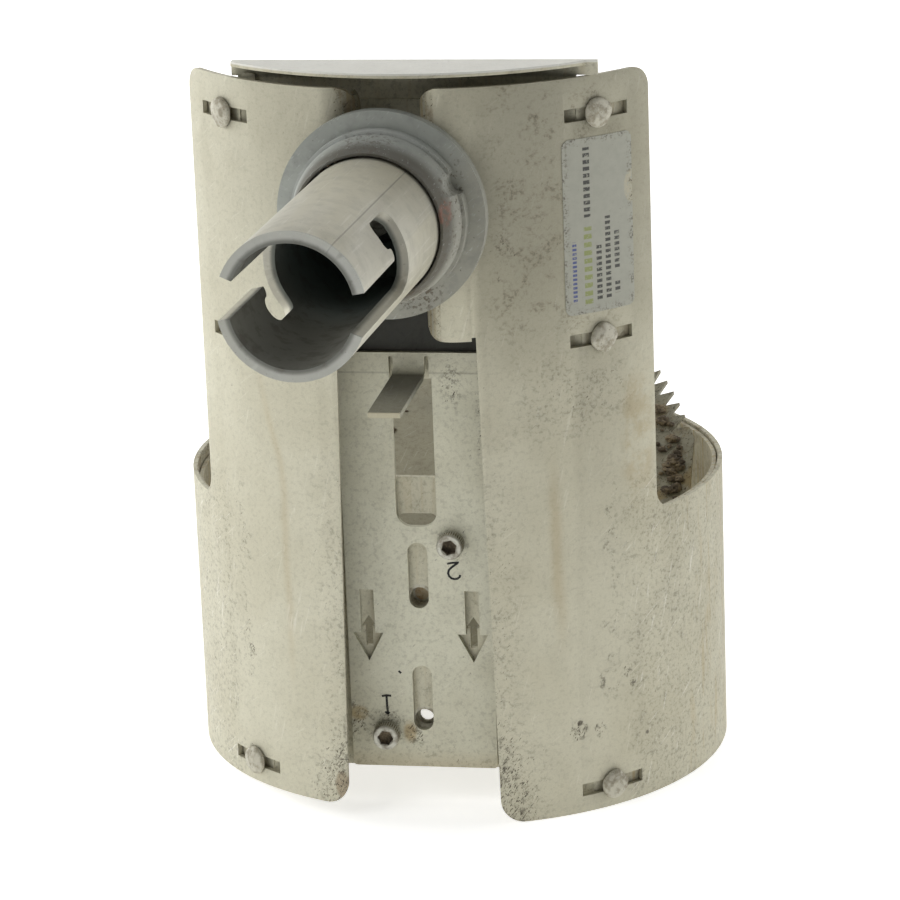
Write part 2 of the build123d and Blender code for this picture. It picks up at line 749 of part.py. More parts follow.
with BuildPart() as leaf:
    bore = hinge_pin_radius + hinge_clearance
    with BuildSketch(flap_plane(flap_sheet / 2)):
        with Locations((0, (leaf_length + leaf_start) / 2)):
            Rectangle(2 * leaf_half, leaf_length - leaf_start)
        with Locations((0, leaf_length - flap_rivet_inset)):
            with GridLocations(flap_rivet_pitch, 0, flap_rivet_count, 1):
                Circle(rivet_shank_radius, mode=Mode.SUBTRACT)
    extrude(amount=leaf_sheet)
    with BuildSketch(Plane.YZ.offset(-leaf_half)):
        with Locations((hinge_y, hinge_z)):
            Circle(barrel_radius)
    extrude(amount=2 * leaf_half)
    with BuildSketch(Plane.YZ.offset(-leaf_half)):
        with Locations((hinge_y, hinge_z)):
            Circle(bore)
    extrude(amount=2 * leaf_half, mode=Mode.SUBTRACT)
    with BuildSketch(flap_plane(-barrel_radius - 1)):
        with Locations((hinge_notch_x, 0)):
            Rectangle(2 * hinge_notch_half, 2 * hinge_notch_depth)
    extrude(amount=2 * barrel_radius + 2, mode=Mode.SUBTRACT)
finish(leaf.part, "flap_hinge_leaf")

with BuildPart() as flap_rivets:
    head = 2 * rivet_shank_radius
    for offset, radius, length in ((-flap_sheet / 2 - flap_rivet_head, head, flap_rivet_head),
                                   (-flap_sheet / 2, rivet_shank_radius, flap_sheet + leaf_sheet),
                                   (flap_sheet / 2 + leaf_sheet, head, flap_rivet_head)):
        with BuildSketch(flap_plane(offset)):
            with Locations((0, leaf_length - flap_rivet_inset)):
                with GridLocations(flap_rivet_pitch, 0, flap_rivet_count, 1):
                    Circle(radius)
        extrude(amount=length)
finish(flap_rivets.part, "flap_rivets")

# ---- slide plate ----

with BuildPart() as slide:
    slide_middle = (slide_foot + slide_top) / 2
    with BuildSketch(front_plane(slide_back_y)):
        with Locations((plate_x, slide_middle)):
            RectangleRounded(2 * slide_half, slide_top - slide_foot, slide_corner)
    extrude(amount=slide_sheet)
    tab_left = tab_x - tab_width / 2
    bend_y = slide_front_y - tab_bend_radius
    bend_z = tab_root_z + slide_sheet + tab_bend_radius
    with BuildSketch(front_plane(slide_back_y)):
        # Window, and the relief slots each side of the tab's root
        with Locations((window_x, (window_bottom + tab_root_z) / 2)):
            Rectangle(window_width, tab_root_z - window_bottom)
        with Locations((tab_x, (tab_root_z + bend_z) / 2)):
            Rectangle(tab_width, bend_z - tab_root_z)
        relief_length = slide_top - relief_drop - tab_root_z + relief_width
        for x in (tab_left - relief_width / 2, tab_left + tab_width + relief_width / 2):
            with Locations((x, slide_top - relief_drop - relief_length / 2)):
                SlotOverall(relief_length, relief_width, rotation=90)
        for z in guide_slot_levels:
            with Locations((plate_x, z)):
                SlotOverall(guide_slot_length, guide_slot_width, rotation=90)
        for x, z in screw_places:
            with Locations((x, z)):
                Circle(screw_radius + screw_hole_play)
        for offset in (-arrow_offset, arrow_offset):
            with Locations((plate_x + offset, (arrow_top + arrow_neck) / 2)):
                Rectangle(arrow_shaft, arrow_top - arrow_neck)
    extrude(amount=slide_sheet, mode=Mode.SUBTRACT)
    for offset in (-arrow_offset, arrow_offset):
        with BuildSketch(front_plane(slide_back_y)):
            with BuildLine(Location((plate_x + offset, arrow_neck))):
                Polyline((-arrow_head / 2, 0), (arrow_head / 2, 0), (0, arrow_tip - arrow_neck), close=True)
            make_face()
        extrude(amount=slide_sheet, mode=Mode.SUBTRACT)
    window_corners = slide.edges().filter_by(Axis.Y).filter_by_position(
        Axis.Z, window_bottom - 0.1, window_bottom + 0.1)
    fillet(window_corners, window_corner)
    # Tab, bent out square from its root
    tab_end_y = slide_front_y - tab_length
    tab_face_z = tab_root_z + slide_sheet
    with BuildSketch(Plane.YZ.offset(tab_left)):
        with BuildLine():
            CenterArc((bend_y, bend_z), tab_bend_radius, -90, 90)
            CenterArc((bend_y, bend_z), tab_bend_radius + slide_sheet, -90, 90)
            Line((slide_front_y, bend_z), (slide_back_y, bend_z))
            Polyline((bend_y, tab_face_z), (tab_end_y, tab_face_z), (tab_end_y, tab_root_z),
                     (bend_y, tab_root_z))
        make_face()
    extrude(amount=tab_width)
finish(slide.part, "slide_plate")

for number, (x, z) in enumerate(screw_places, start=1):
    with BuildPart() as screw:
        with BuildSketch(front_plane(slide_front_y)):
            with Locations((x, z)):
                Circle(screw_head_radius)
        extrude(amount=screw_head)
        rim_edge = screw.edges().sort_by(Axis.Y)[0]
        fillet(rim_edge, screw_head_round)
        with BuildSketch(front_plane(slide_front_y - screw_head)):
            with Locations((x, z)):
                RegularPolygon(screw_hex / 2, 6, major_radius=False)
        extrude(amount=-screw_hex_depth, mode=Mode.SUBTRACT)
        with BuildSketch(front_plane(slide_front_y)):
            with Locations((x, z)):
                Circle(screw_radius)
        extrude(amount=-(base_back_y + nut_gap + nut_thickness + screw_end - slide_front_y))
    finish(screw.part, f"screw_{number}")

with BuildPart() as nuts:
    for x, z in screw_places:
        with BuildSketch(front_plane(base_back_y + nut_gap)):
            with Locations((x, z)):
                RegularPolygon(nut_size / 2, 6, major_radius=False)
                Circle(screw_radius, mode=Mode.SUBTRACT)
        extrude(amount=-nut_thickness)
finish(nuts.part, "clamp_nuts")

# ---- key socket ----

with BuildPart() as tube:
    with BuildSketch(socket_plane(0)):
        Circle(socket_radius)
    extrude(amount=socket_length)
    with BuildSketch(socket_plane(0)):
        Circle(socket_radius - socket_wall - socket_floor_ledge)
    extrude(amount=socket_floor_sheet, mode=Mode.SUBTRACT)
    with BuildSketch(socket_plane(socket_floor_sheet)):
        Circle(socket_radius - socket_wall)
    extrude(amount=socket_length - socket_floor_sheet, mode=Mode.SUBTRACT)
    # Two bayonet slots, opposite each other: straight in, then hooked back past a small catch
    for turn in (0, 180):
        entry_start = 90 - bayonet_start - bayonet_width + turn
        hook_end = 90 - bayonet_start + turn
        for start, sweep_angle, near, far in (
                (entry_start, bayonet_width, -1, bayonet_depth),
                (hook_end - 1, bayonet_hook + 1, bayonet_depth - bayonet_hook_width, bayonet_depth),
                (hook_end + bayonet_nub, bayonet_hook - bayonet_nub,
                 bayonet_depth - bayonet_hook_width - bayonet_recess, bayonet_depth)):
            with BuildSketch(socket_plane(socket_length - far)):
                with BuildLine():
                    reach = socket_radius + 2
                    CenterArc((0, 0), reach, start, sweep_angle)
                    CenterArc((0, 0), socket_radius - socket_wall - 2, start, sweep_angle)
                    for angle in (start, start + sweep_angle):
                        inner = socket_radius - socket_wall - 2
                        Line((inner * cos(radians(angle)), inner * sin(radians(angle))),
                             (reach * cos(radians(angle)), reach * sin(radians(angle))))
                make_face()
            extrude(amount=far - near, mode=Mode.SUBTRACT)
    # Rounded corners on the slots' short edges through the wall
    socket_axis = Axis(socket_plane(0).origin, socket_plane(0).z_dir)
    slot_foot = socket_length - bayonet_depth
    for out, corner in ((slot_foot, bayonet_corner), (slot_foot + bayonet_hook_width, bayonet_nub_corner),
                        (slot_foot + bayonet_hook_width + bayonet_recess, bayonet_recess_corner)):
        through = tube.edges().filter_by(lambda e: abs(e.length - socket_wall) < 0.05)
        fillet(through.filter_by_position(socket_axis, out - 0.2, out + 0.2), corner)
finish(tube.part, "socket_tube")

with BuildPart() as socket_floor:
    with BuildSketch(socket_plane(0)):
        Circle(socket_radius - socket_wall - socket_floor_ledge)
        Circle(bolt_radius, mode=Mode.SUBTRACT)
    extrude(amount=socket_floor_sheet)
    with BuildSketch(socket_plane(socket_floor_sheet - socket_floor_sink)):
        Circle(socket_floor_pocket)
    extrude(amount=socket_floor_sink, mode=Mode.SUBTRACT)
finish(socket_floor.part, "socket_floor")

with BuildPart() as disc:
    with BuildSketch(socket_plane(0)):
        Circle(disc_radius)
    extrude(amount=disc_sheet)
    with BuildSketch(socket_plane(disc_sheet)):
        Circle(boss_radius)
    extrude(amount=boss_step - disc_sheet)
    with BuildSketch(socket_plane(boss_step)):
        Circle(boss_radius - boss_ledge)
    extrude(amount=boss_shoulder - boss_step)
    with BuildSketch(socket_plane(boss_shoulder)):
        Circle(boss_radius - boss_ledge)
    with BuildSketch(socket_plane(boss_top)):
        Circle(socket_radius + boss_top_wall)
    loft()
    with BuildSketch(socket_plane(0)):
        Circle(socket_radius)
    extrude(amount=boss_top, mode=Mode.SUBTRACT)
    with BuildSketch(socket_plane(boss_top - boss_recess)):
        Circle(socket_radius + boss_recess_gap)
    extrude(amount=boss_recess, mode=Mode.SUBTRACT)
    with BuildSketch(socket_plane(disc_sheet)):
        with PolarLocations(boss_radius + boss_notch_out, 1, start_angle=boss_notch_angle):
            Circle(boss_notch_radius)
    extrude(amount=boss_top - disc_sheet, mode=Mode.SUBTRACT)
finish(disc.part, "socket_disc")

with BuildPart() as cam:
    with BuildSketch(socket_plane(-cam_depth)):
        Ellipse(cam_half_long, cam_half_short, rotation=-45)
    extrude(amount=cam_sheet)
    with BuildSketch(socket_plane(-cam_depth + cam_sheet)):
        Circle(cam_hub_radius)
    extrude(amount=cam_depth - cam_sheet)
    with BuildSketch(socket_plane(-cam_depth)):
        Circle(bolt_radius)
    extrude(amount=cam_depth, mode=Mode.SUBTRACT)
finish(cam.part, "cam")

washer_out = -cam_depth - 2 * bush_play - bush_collar - bush_depth
bolt_seat = socket_floor_sheet - socket_floor_sink
with BuildPart() as bolt:
    with BuildSketch(socket_plane(bolt_seat)):
        RegularPolygon(bolt_head_size / 2, 6, major_radius=False)
    extrude(amount=bolt_head)
    with BuildSketch(socket_plane(bolt_seat)):
        Circle(bolt_radius)
    extrude(amount=washer_out - lock_washer - lock_nut - bolt_end - bolt_seat)
finish(bolt.part, "cam_bolt")

with BuildPart() as washer:
    with BuildSketch(socket_plane(washer_out)):
        Circle(lock_washer_radius)
        Circle(bolt_radius, mode=Mode.SUBTRACT)
    extrude(amount=-lock_washer)
finish(washer.part, "lock_washer")

with BuildPart() as nut:
    with BuildSketch(socket_plane(washer_out - lock_washer)):
        RegularPolygon(bolt_head_size / 2, 6, major_radius=False)
        Circle(bolt_radius, mode=Mode.SUBTRACT)
    extrude(amount=-lock_nut)
finish(nut.part, "lock_nut")
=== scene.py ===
import json
import math
import random
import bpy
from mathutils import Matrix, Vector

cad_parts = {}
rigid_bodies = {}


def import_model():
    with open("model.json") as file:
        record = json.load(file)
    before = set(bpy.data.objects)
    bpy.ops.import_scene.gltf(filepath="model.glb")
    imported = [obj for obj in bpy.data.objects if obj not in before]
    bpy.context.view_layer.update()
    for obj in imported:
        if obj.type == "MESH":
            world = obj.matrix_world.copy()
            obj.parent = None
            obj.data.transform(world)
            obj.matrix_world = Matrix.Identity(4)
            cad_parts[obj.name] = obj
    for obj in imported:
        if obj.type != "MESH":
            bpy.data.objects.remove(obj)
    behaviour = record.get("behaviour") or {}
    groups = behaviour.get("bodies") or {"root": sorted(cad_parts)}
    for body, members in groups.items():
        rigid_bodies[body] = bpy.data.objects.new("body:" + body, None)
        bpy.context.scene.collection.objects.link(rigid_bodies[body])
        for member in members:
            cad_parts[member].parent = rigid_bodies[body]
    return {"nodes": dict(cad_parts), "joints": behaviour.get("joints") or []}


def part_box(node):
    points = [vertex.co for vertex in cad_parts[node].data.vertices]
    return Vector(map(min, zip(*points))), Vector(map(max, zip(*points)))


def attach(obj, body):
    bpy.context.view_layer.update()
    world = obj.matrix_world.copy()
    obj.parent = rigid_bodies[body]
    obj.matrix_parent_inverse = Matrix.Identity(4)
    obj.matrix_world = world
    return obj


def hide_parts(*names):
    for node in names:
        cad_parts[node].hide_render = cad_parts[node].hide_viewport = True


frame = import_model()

from types import SimpleNamespace

import bmesh
import bpy
from mathutils import Matrix, Vector, noise

bl_info = {
    "name": "Drain Barrier Dressing",
    "version": (1, 0, 0),
    "blender": (4, 5, 0),
    "location": "View3D > Sidebar > Barrier",
    "description": "Finishes, small hardware and a studio for a one-way drain pipe barrier",
    "category": "Object",
}

MM = 0.001
SHELL_RADIUS = 72.0
DEGREE_LENGTH = math.radians(SHELL_RADIUS)  # mm of sheet for one degree round the shell
JOINTS = {joint["name"]: joint for joint in frame["joints"]}
KEY_ROOT = Vector(JOINTS["key_turn"]["pos_m"])
KEY_OUT = Vector(JOINTS["key_turn"]["axis"])
KEY_RIGHT = Vector((-KEY_OUT.y, KEY_OUT.x, 0.0))
FLAP_HINGE = Vector(JOINTS["flap_swing"]["pos_m"])


# ---- shader expressions ----


def rgba(colour):
    """A colour with its alpha, for a socket."""
    return (*colour[:3], 1.0)


class Wire:
    """A node's output, which adds Math nodes when it is used in an expression."""

    def __init__(self, board, socket):
        self.board = board
        self.socket = socket

    def __add__(self, other):
        return self.board.maths("ADD", self, other)

    __radd__ = __add__

    def __sub__(self, other):
        return self.board.maths("SUBTRACT", self, other)

    def __rsub__(self, other):
        return self.board.maths("SUBTRACT", other, self)

    def __mul__(self, other):
        return self.board.maths("MULTIPLY", self, other)

    __rmul__ = __mul__

    def __truediv__(self, other):
        return self.board.maths("DIVIDE", self, other)

    def __rtruediv__(self, other):
        return self.board.maths("DIVIDE", other, self)

    def __pow__(self, other):
        return self.board.maths("POWER", self, other)

    def __neg__(self):
        return self.board.maths("MULTIPLY", self, -1.0)

    def __abs__(self):
        return self.board.maths("ABSOLUTE", self)

    def least(self, other):
        return self.board.maths("MINIMUM", self, other)

    def most(self, other):
        return self.board.maths("MAXIMUM", self, other)

    def ramp(self, low, high):
        """0 at low, 1 at high, smooth between, and either may be the larger."""
        values = {"Value": self, "From Min": low, "From Max": high}
        return self.board.node("ShaderNodeMapRange", {"interpolation_type": "SMOOTHSTEP"}, values)

    def span(self, low, high, soft):
        """1 between low and high, with soft ends."""
        return self.ramp(low - soft, low + soft) * self.ramp(high + soft, high - soft)


class Board:
    """The nodes of one material."""

    def __init__(self, name):
        self.material = bpy.data.materials.new(name)
        self.material.use_nodes = True
        self.tree = self.material.node_tree
        self.tree.nodes.clear()

    def node(self, kind, settings=None, values=None, output=0):
        """Adds a node: its settings first, then the values or wires of its sockets."""
        made = self.tree.nodes.new(kind)
        for key, value in (settings or {}).items():
            setattr(made, key, value)
        for key, value in (values or {}).items():
            if isinstance(value, Wire):
                self.tree.links.new(value.socket, made.inputs[key])
            else:
                made.inputs[key].default_value = value
        if output is None:
            return [Wire(self, socket) for socket in made.outputs]
        return Wire(self, made.outputs[output])

    def maths(self, operation, *values):
        return self.node("ShaderNodeMath", {"operation": operation}, dict(enumerate(values)))

    def place(self):
        """Where a point lies in the row frame, in millimetres, carried along by its body."""
        where = self.node("ShaderNodeTexCoord", output=3)
        return self.node("ShaderNodeVectorMath", {"operation": "SCALE"}, {0: where, "Scale": 1000.0})

    def split(self, vector):
        return self.node("ShaderNodeSeparateXYZ", None, {0: vector}, output=None)

    def join(self, x, y, z):
        return self.node("ShaderNodeCombineXYZ", None, {0: x, 1: y, 2: z})

    def mix(self, factor, under, over, blend="MIX"):
        """A colour laid over another by a factor."""
        settings = {"data_type": "RGBA", "blend_type": blend, "clamp_factor": True}
        values = {0: factor}
        for key, colour in ((6, under), (7, over)):
            values[key] = colour if isinstance(colour, Wire) else rgba(colour)
        return self.node("ShaderNodeMix", settings, values, output=2)

    def coats(self, colour, *coats):
        """Colours laid over one another, each by its factor."""
        for factor, over in coats:
            colour = self.mix(factor, colour, over)
        return colour

    def noise(self, where, scale, detail=3.0, rough=0.5, distort=0.0):
        values = {"Vector": where, "Scale": scale, "Detail": detail, "Roughness": rough}
        return self.node("ShaderNodeTexNoise", None, values | {"Distortion": distort})

    def cells(self, where, scale):
        return self.node("ShaderNodeTexVoronoi", None, {"Vector": where, "Scale": scale})

    def wrap(self, x, y):
        """The angle from the front in degrees, and the distance from the pipe axis."""
        angle = self.maths("ARCTAN2", x, -y) * math.degrees(1.0)
        radius = self.maths("SQRT", x * x + y * y)
        return angle, radius

    def spot(self, u, v, place, reach, soft=0.6):
        """1 at a place, falling to 0 at its reach each way."""
        far = ((u - place[0]) / reach[0]) ** 2.0 + ((v - place[1]) / reach[1]) ** 2.0
        return far.ramp(1.0, 1.0 - soft)

    def spots(self, u, v, places, soft=0.6):
        """1 at any of several places, each with its reach."""
        first, *others = [self.spot(u, v, place, reach, soft) for place, reach in places]
        for other in others:
            first = first.most(other)
        return first

    def bump(self, height, distance, strength=1.0, under=None):
        values = {"Strength": strength, "Distance": distance * MM, "Height": height}
        if under is not None:
            values["Normal"] = under
        return self.node("ShaderNodeBump", None, values)

    def finish(self, colour, metallic, roughness, normal=None, **even):
        """The surface shader: textured sockets by wire, and even ones set on their sockets."""
        values = {"Base Color": colour if isinstance(colour, Wire) else rgba(colour),
                  "Metallic": metallic, "Roughness": roughness}
        if normal is not None:
            values["Normal"] = normal
        for key, value in even.items():
            values[key.replace("_", " ").title()] = value
        shader = self.node("ShaderNodeBsdfPrincipled", None, values)
        self.node("ShaderNodeOutputMaterial", None, {"Surface": shader}, output=None)
        return self.material


# ---- settings ----


def colour_setting(name, description, default):
    return bpy.props.FloatVectorProperty(
        name=name, description=description, subtype="COLOR", size=3, min=0.0, max=1.0, default=default)


def share_setting(name, description):
    return bpy.props.FloatProperty(
        name=name, description=description, subtype="FACTOR", min=0.0, max=2.0, default=1.0)


def length_setting(name, description, default, least=0.0):
    return bpy.props.FloatProperty(
        name=name, description=description, unit="LENGTH", min=least, default=default)


def count_setting(name, description, default, least, most):
    return bpy.props.IntProperty(name=name, description=description, min=least, max=most, default=default)


def angle_setting(name, description, default):
    return bpy.props.FloatProperty(name=name, description=description, subtype="ANGLE", default=default)


def strength_setting(name, description, default):
    return bpy.props.FloatProperty(name=name, description=description, min=0.0, default=default)


class BarrierFinishSettings(bpy.types.PropertyGroup):
    steel: colour_setting("Steel", "Clean dull sheet steel", (0.59, 0.57, 0.452))
    # Warm steel is also the base colour of the shells' painted shade.
    steel_warm: colour_setting("Warm steel", "Sheet steel with a warm film of dirt", (0.48, 0.45, 0.33))
    steel_cool: colour_setting("Cool steel", "Tube and screw steel", (0.52, 0.505, 0.43))
    plate: colour_setting("Plate steel", "Slide plate steel", (0.66, 0.65, 0.525))
    zinc: colour_setting("Cast disc", "Grey cast metal of the disc", (0.33, 0.345, 0.315))
    soil: colour_setting("Soil", "Dried drain dirt", (0.075, 0.06, 0.042))
    clay: colour_setting("Clay", "Pale sandy deposits", (0.36, 0.29, 0.19))
    ochre: colour_setting("Ochre", "Rusty water streaks", (0.42, 0.31, 0.14))
    film: colour_setting("Label film", "Worn pale label film", (0.40, 0.40, 0.335))
    soil_amount: share_setting("Soil amount", "How much of the dirt shows")
    scratch_amount: share_setting("Scratches", "How strongly the scratches show")
    edge_width: length_setting("Edge rounding", "Rounding on the sheets' sheared edges", 0.00018)


class BarrierHardwareSettings(bpy.types.PropertyGroup):
    knurls: count_setting("Knurls", "Grooves round a socket screw's head", 34, 8, 80)
    key_size: length_setting("Key size", "Hexagon key across its flats", 0.0036, 0.001)
    pitch: length_setting("Thread pitch", "Thread pitch of the clamp screws", 0.0007, 0.0003)
    bolt_pitch: length_setting("Bolt pitch", "Thread pitch of the cam bolt", 0.0008, 0.0003)
    number_depth: length_setting("Number relief", "How proud the marked numbers stand", 0.00004)
    lumps: count_setting("Soil lumps", "Dried lumps left on the liner and on the flap", 60, 0, 400)


class BarrierStageSettings(bpy.types.PropertyGroup):
    camera_place: bpy.props.FloatVectorProperty(
        name="Camera", description="Where the camera stands", size=3, subtype="TRANSLATION", unit="LENGTH",
        default=(0.17941, -1.02529, 0.39821))
    pan: angle_setting("Pan", "Turn to the left of straight ahead", -0.175178)
    tilt: angle_setting("Tilt", "Turn above level", -0.295956)
    roll: angle_setting("Roll", "Turn about the line of sight", -0.0373188)
    lens: bpy.props.FloatProperty(
        name="Lens", description="Focal length on a 36 mm frame, in millimetres", default=159.645, min=10.0)
    key_power: strength_setting("Key light", "Power of the large front left light, in watts", 7.5)
    fill_power: strength_setting("Fill light", "Power of the front right light, in watts", 0.9)
    rim_power: strength_setting("Side lights", "Power of the lights behind each side, in watts", 4.6)
    floor_glow: strength_setting("Light table", "Glow of the pale floor", 0.62)
    room: strength_setting("Room light", "Strength of the even light all round", 0.10)


# ---- sheet metal finishes ----


def darker(colour, share):
    """A colour taken down, or up, by a share."""
    return [part * share for part in colour]


def sheet_marks(board, u, v, depth):
    """The marks all the sheets share: clouding, specks, dashes and fine scratches. u and v are in mm."""
    sheet = board.join(u, v, depth)
    slant = board.join(u * 0.30 + v * 0.52, v * 1.1 - u * 1.5, depth * 0.2)
    upright = board.join(u * 0.9 - v * 0.25, v * 0.06 + u * 0.02, depth * 0.1)
    sideways = board.join(u * 0.07 + v * 0.06, v * 1.3 - u * 0.9, depth * 0.1)
    rolled = board.join(u * 3.2, v * 0.10, depth)
    return SimpleNamespace(
        cloud=board.noise(sheet, 0.03, 4.0, 0.55),
        mottle=board.noise(sheet, 0.17, 5.0, 0.62),
        film=board.noise(sheet, 0.75, 6.0, 0.72),
        specks=board.noise(sheet, 1.25, 4.0, 0.68),
        fine=board.noise(sheet, 2.6, 2.0, 0.5),
        dashes=board.noise(slant, 1.35, 3.0, 0.55, 0.4),
        hair=board.noise(upright, 1.6, 2.0, 0.5, 0.25),
        cross=board.noise(sideways, 1.2, 2.0, 0.5, 0.3),
        grain=board.noise(rolled, 1.0, 2.0, 0.5),
    )


def worn_sheet(board, look, marks, base, density, warm, ochre, clay=0.0, rough_patch=0.0):
    """A dull stainless sheet with soil, ochre streaks, clay and a warm film where its masks say; on the
    shells the warm mask also carries painted shade.
    """
    film = marks.film.ramp(0.50, 0.62) * (0.18 + 0.30 * density)
    bright = (marks.hair.ramp(0.66, 0.72) + marks.cross.ramp(0.67, 0.72)).least(1.0)
    shine = bright * (0.05 + 0.28 * rough_patch) * look.scratch_amount
    scribble = marks.specks.ramp(0.54, 0.62).most(marks.film.ramp(0.54, 0.62))
    low = 0.715 - 0.12 * density
    dirt = (marks.specks.ramp(low, low + 0.04) + marks.dashes.ramp(low - 0.01, low + 0.04)).least(1.0)
    haze = density * marks.mottle.ramp(0.40, 0.60) * marks.film.ramp(0.46, 0.62) * 0.55
    dirt = (dirt * (0.35 + density).least(0.92)).most(haze) * look.soil_amount
    colour = board.coats(
        base,
        (marks.cloud.ramp(0.38, 0.64) * 0.30 + warm, look.steel_warm),
        (marks.mottle.ramp(0.44, 0.70) * 0.10, darker(base, 0.62)),
        (marks.fine.ramp(0.44, 0.60) * 0.10, darker(base, 0.50)),
        (film, darker(look.steel_warm, 0.50)),
        (shine, (0.86, 0.85, 0.80)),
        (rough_patch * scribble * 0.24, darker(look.steel_warm, 0.50)),
        (ochre, look.ochre),
        (clay, look.clay),
        (dirt, look.soil))
    dull = (dirt + clay + ochre * 0.6).least(1.0)
    roughness = 0.50 + 0.16 * marks.mottle + 0.10 * marks.cloud + 0.30 * dull - 0.16 * bright
    relief = marks.mottle * 0.35 + marks.specks * 0.20 + dirt * 0.5 + clay * 0.6 - bright * 0.35
    normal = board.bump(marks.cloud, 1.1, 0.6)
    normal = board.bump(relief, 0.10, 0.8, normal)
    normal = board.bump(marks.grain, 0.02, 0.5, normal)
    return colour, 0.46 - 0.46 * dull, roughness.least(0.95), normal


def shell_soil(board, angle, z, wander):
    """Where the shells are soiled: by the gap, at the foot and shoulder, in drips and smudges."""
    away = abs(angle)
    edge = (away + wander * 0.3).ramp(25.0, 16.5) * z.ramp(122.0, 60.0)
    foot = (z - wander * 0.6).ramp(30.0, 4.0) * (away + wander * 0.5).ramp(30.0, 18.0)
    corners = away.ramp(31.0, 17.0) * (z - wander * 0.4).ramp(34.0, 8.0)
    shoulder = angle.span(24.0, 47.0, 5.0) * z.span(104.0, 124.0, 6.0)
    tide = abs(away + wander * 1.2 - 43.0).ramp(2.2, 0.4) * z.span(30.0, 88.0, 5.0)
    drips = board.spots(angle, z, (
        ((46.2, 36.5), (1.6, 2.2)), ((47.4, 33.0), (1.0, 1.6)), ((39.5, 35.5), (1.2, 2.4)),
        ((33.6, 23.0), (2.6, 3.2)), ((38.8, 22.0), (1.8, 2.6)), ((-41.5, 41.0), (2.0, 2.4)),
        ((-43.0, 12.0), (2.0, 3.0))))
    smudges = board.spots(angle, z, (((29.0, 158.0), (3.4, 9.0)), ((21.0, 152.0), (3.0, 11.0))), 0.95)
    return (edge * 0.42 + foot * 0.62 + corners * 0.35 + shoulder * 0.42 + tide * 0.5 + drips * 0.95
            + smudges * 0.42)


def shell_streaks(board, marks, x, y, z, angle, lip):
    """Ochre water streaks down the shells' faces, sides and lips."""
    away = abs(angle)
    sway = marks.cloud - 0.5
    right_streak = (angle + sway * 5.0).span(29.2, 30.6, 1.6) * z.span(54.0, 92.0, 12.0) * 0.42
    veer = z.ramp(88.0, 124.0) * 5.0  # the left streak curves away near its head
    left_streak = (angle + veer + sway * 4.0).span(-29.4, -28.6, 1.2) * z.span(42.0, 116.0, 14.0) * 0.34
    tan_edge = angle.span(46.5, 54.5, 2.0) * z.span(86.0, 116.0, 9.0) * marks.mottle.ramp(0.35, 0.6) * 0.35
    down_side = board.noise(board.join(angle * 0.5, z * 0.05, 0.0), 0.8, 4.0, 0.6, 0.6)
    side_runs = away.ramp(62.0, 70.0) * down_side.ramp(0.50, 0.66) * 0.3
    down_lip = board.noise(board.join(x * 1.0, z * 0.04, y * 0.5), 1.1, 2.0)
    lip_runs = lip * down_lip.ramp(0.42, 0.60) * 0.6
    return (right_streak + left_streak + tan_edge + side_runs + lip_runs).least(0.85)


def shell_finish(look):
    """The two bent shells, with their stains where water and soil ran, and painted shade on their upper
    parts, their lips and the right shell.
    """
    board = Board("shell_steel")
    x, y, z = board.split(board.place())
    angle, radius = board.wrap(x, y)
    marks = sheet_marks(board, angle * DEGREE_LENGTH, z, radius)
    away = abs(angle)
    wander = (marks.mottle - 0.5) * 14.0
    inside = radius.ramp(71.1, 70.85)
    ring = (away + wander).ramp(44.0, 50.0) * z.ramp(92.0, 84.0)
    lip = radius.ramp(70.4, 69.0) * z.ramp(129.0, 131.0) * away.ramp(24.0, 20.0)
    by_label = angle.span(19.0, 46.0, 4.0) * z.ramp(124.0, 140.0)
    patches = by_label * marks.mottle.ramp(0.47, 0.60) * marks.film.ramp(0.40, 0.60)
    density = shell_soil(board, angle, z, wander) + patches * 0.5 + ring * 0.30 + inside * 0.62
    ochre = shell_streaks(board, marks, x, y, z, angle, lip)
    corner_clay = board.spot(angle, z, (-17.6, 9.5), (2.0, 4.5))
    clay = inside * marks.mottle.ramp(0.50, 0.62) * 0.45 + corner_clay * 0.75
    # The angle.ramp(5, 20) share of warm is painted shade: the right shell darker where it turns away from
    # the light. The other shares are a warm film of dirt.
    warm = (angle.ramp(5.0, 20.0) * 0.22 + inside * 0.30 + ring * 0.10 + patches * 0.5).least(0.8)
    colour, metallic, roughness, normal = worn_sheet(
        board, look, marks, look.steel, density.least(1.0), warm, ochre, clay.least(0.9), ring)
    dots = board.cells(board.join(angle * DEGREE_LENGTH, z, 0.0), 0.045).ramp(0.045, 0.03)
    grazes = marks.hair.ramp(0.55, 0.60) * board.spot(angle, z, (-27.0, 55.0), (4.0, 9.0), 0.9)
    # Painted shade: the upper right and upper left shells and the curled lips are darkened where less light
    # reaches them.
    right_shade = angle.ramp(6.0, 26.0) * z.ramp(112.0, 152.0) * 0.36
    left_shade = angle.ramp(-6.0, -26.0) * z.ramp(120.0, 165.0) * 0.14
    colour = board.coats(
        colour,
        (dots * 0.75, look.soil),
        (grazes * 0.35 * look.scratch_amount, (0.72, 0.70, 0.62)),
        (right_shade + left_shade + lip * 0.30, darker(look.steel_warm, 0.40)))
    return board.finish(colour, metallic, roughness, normal)


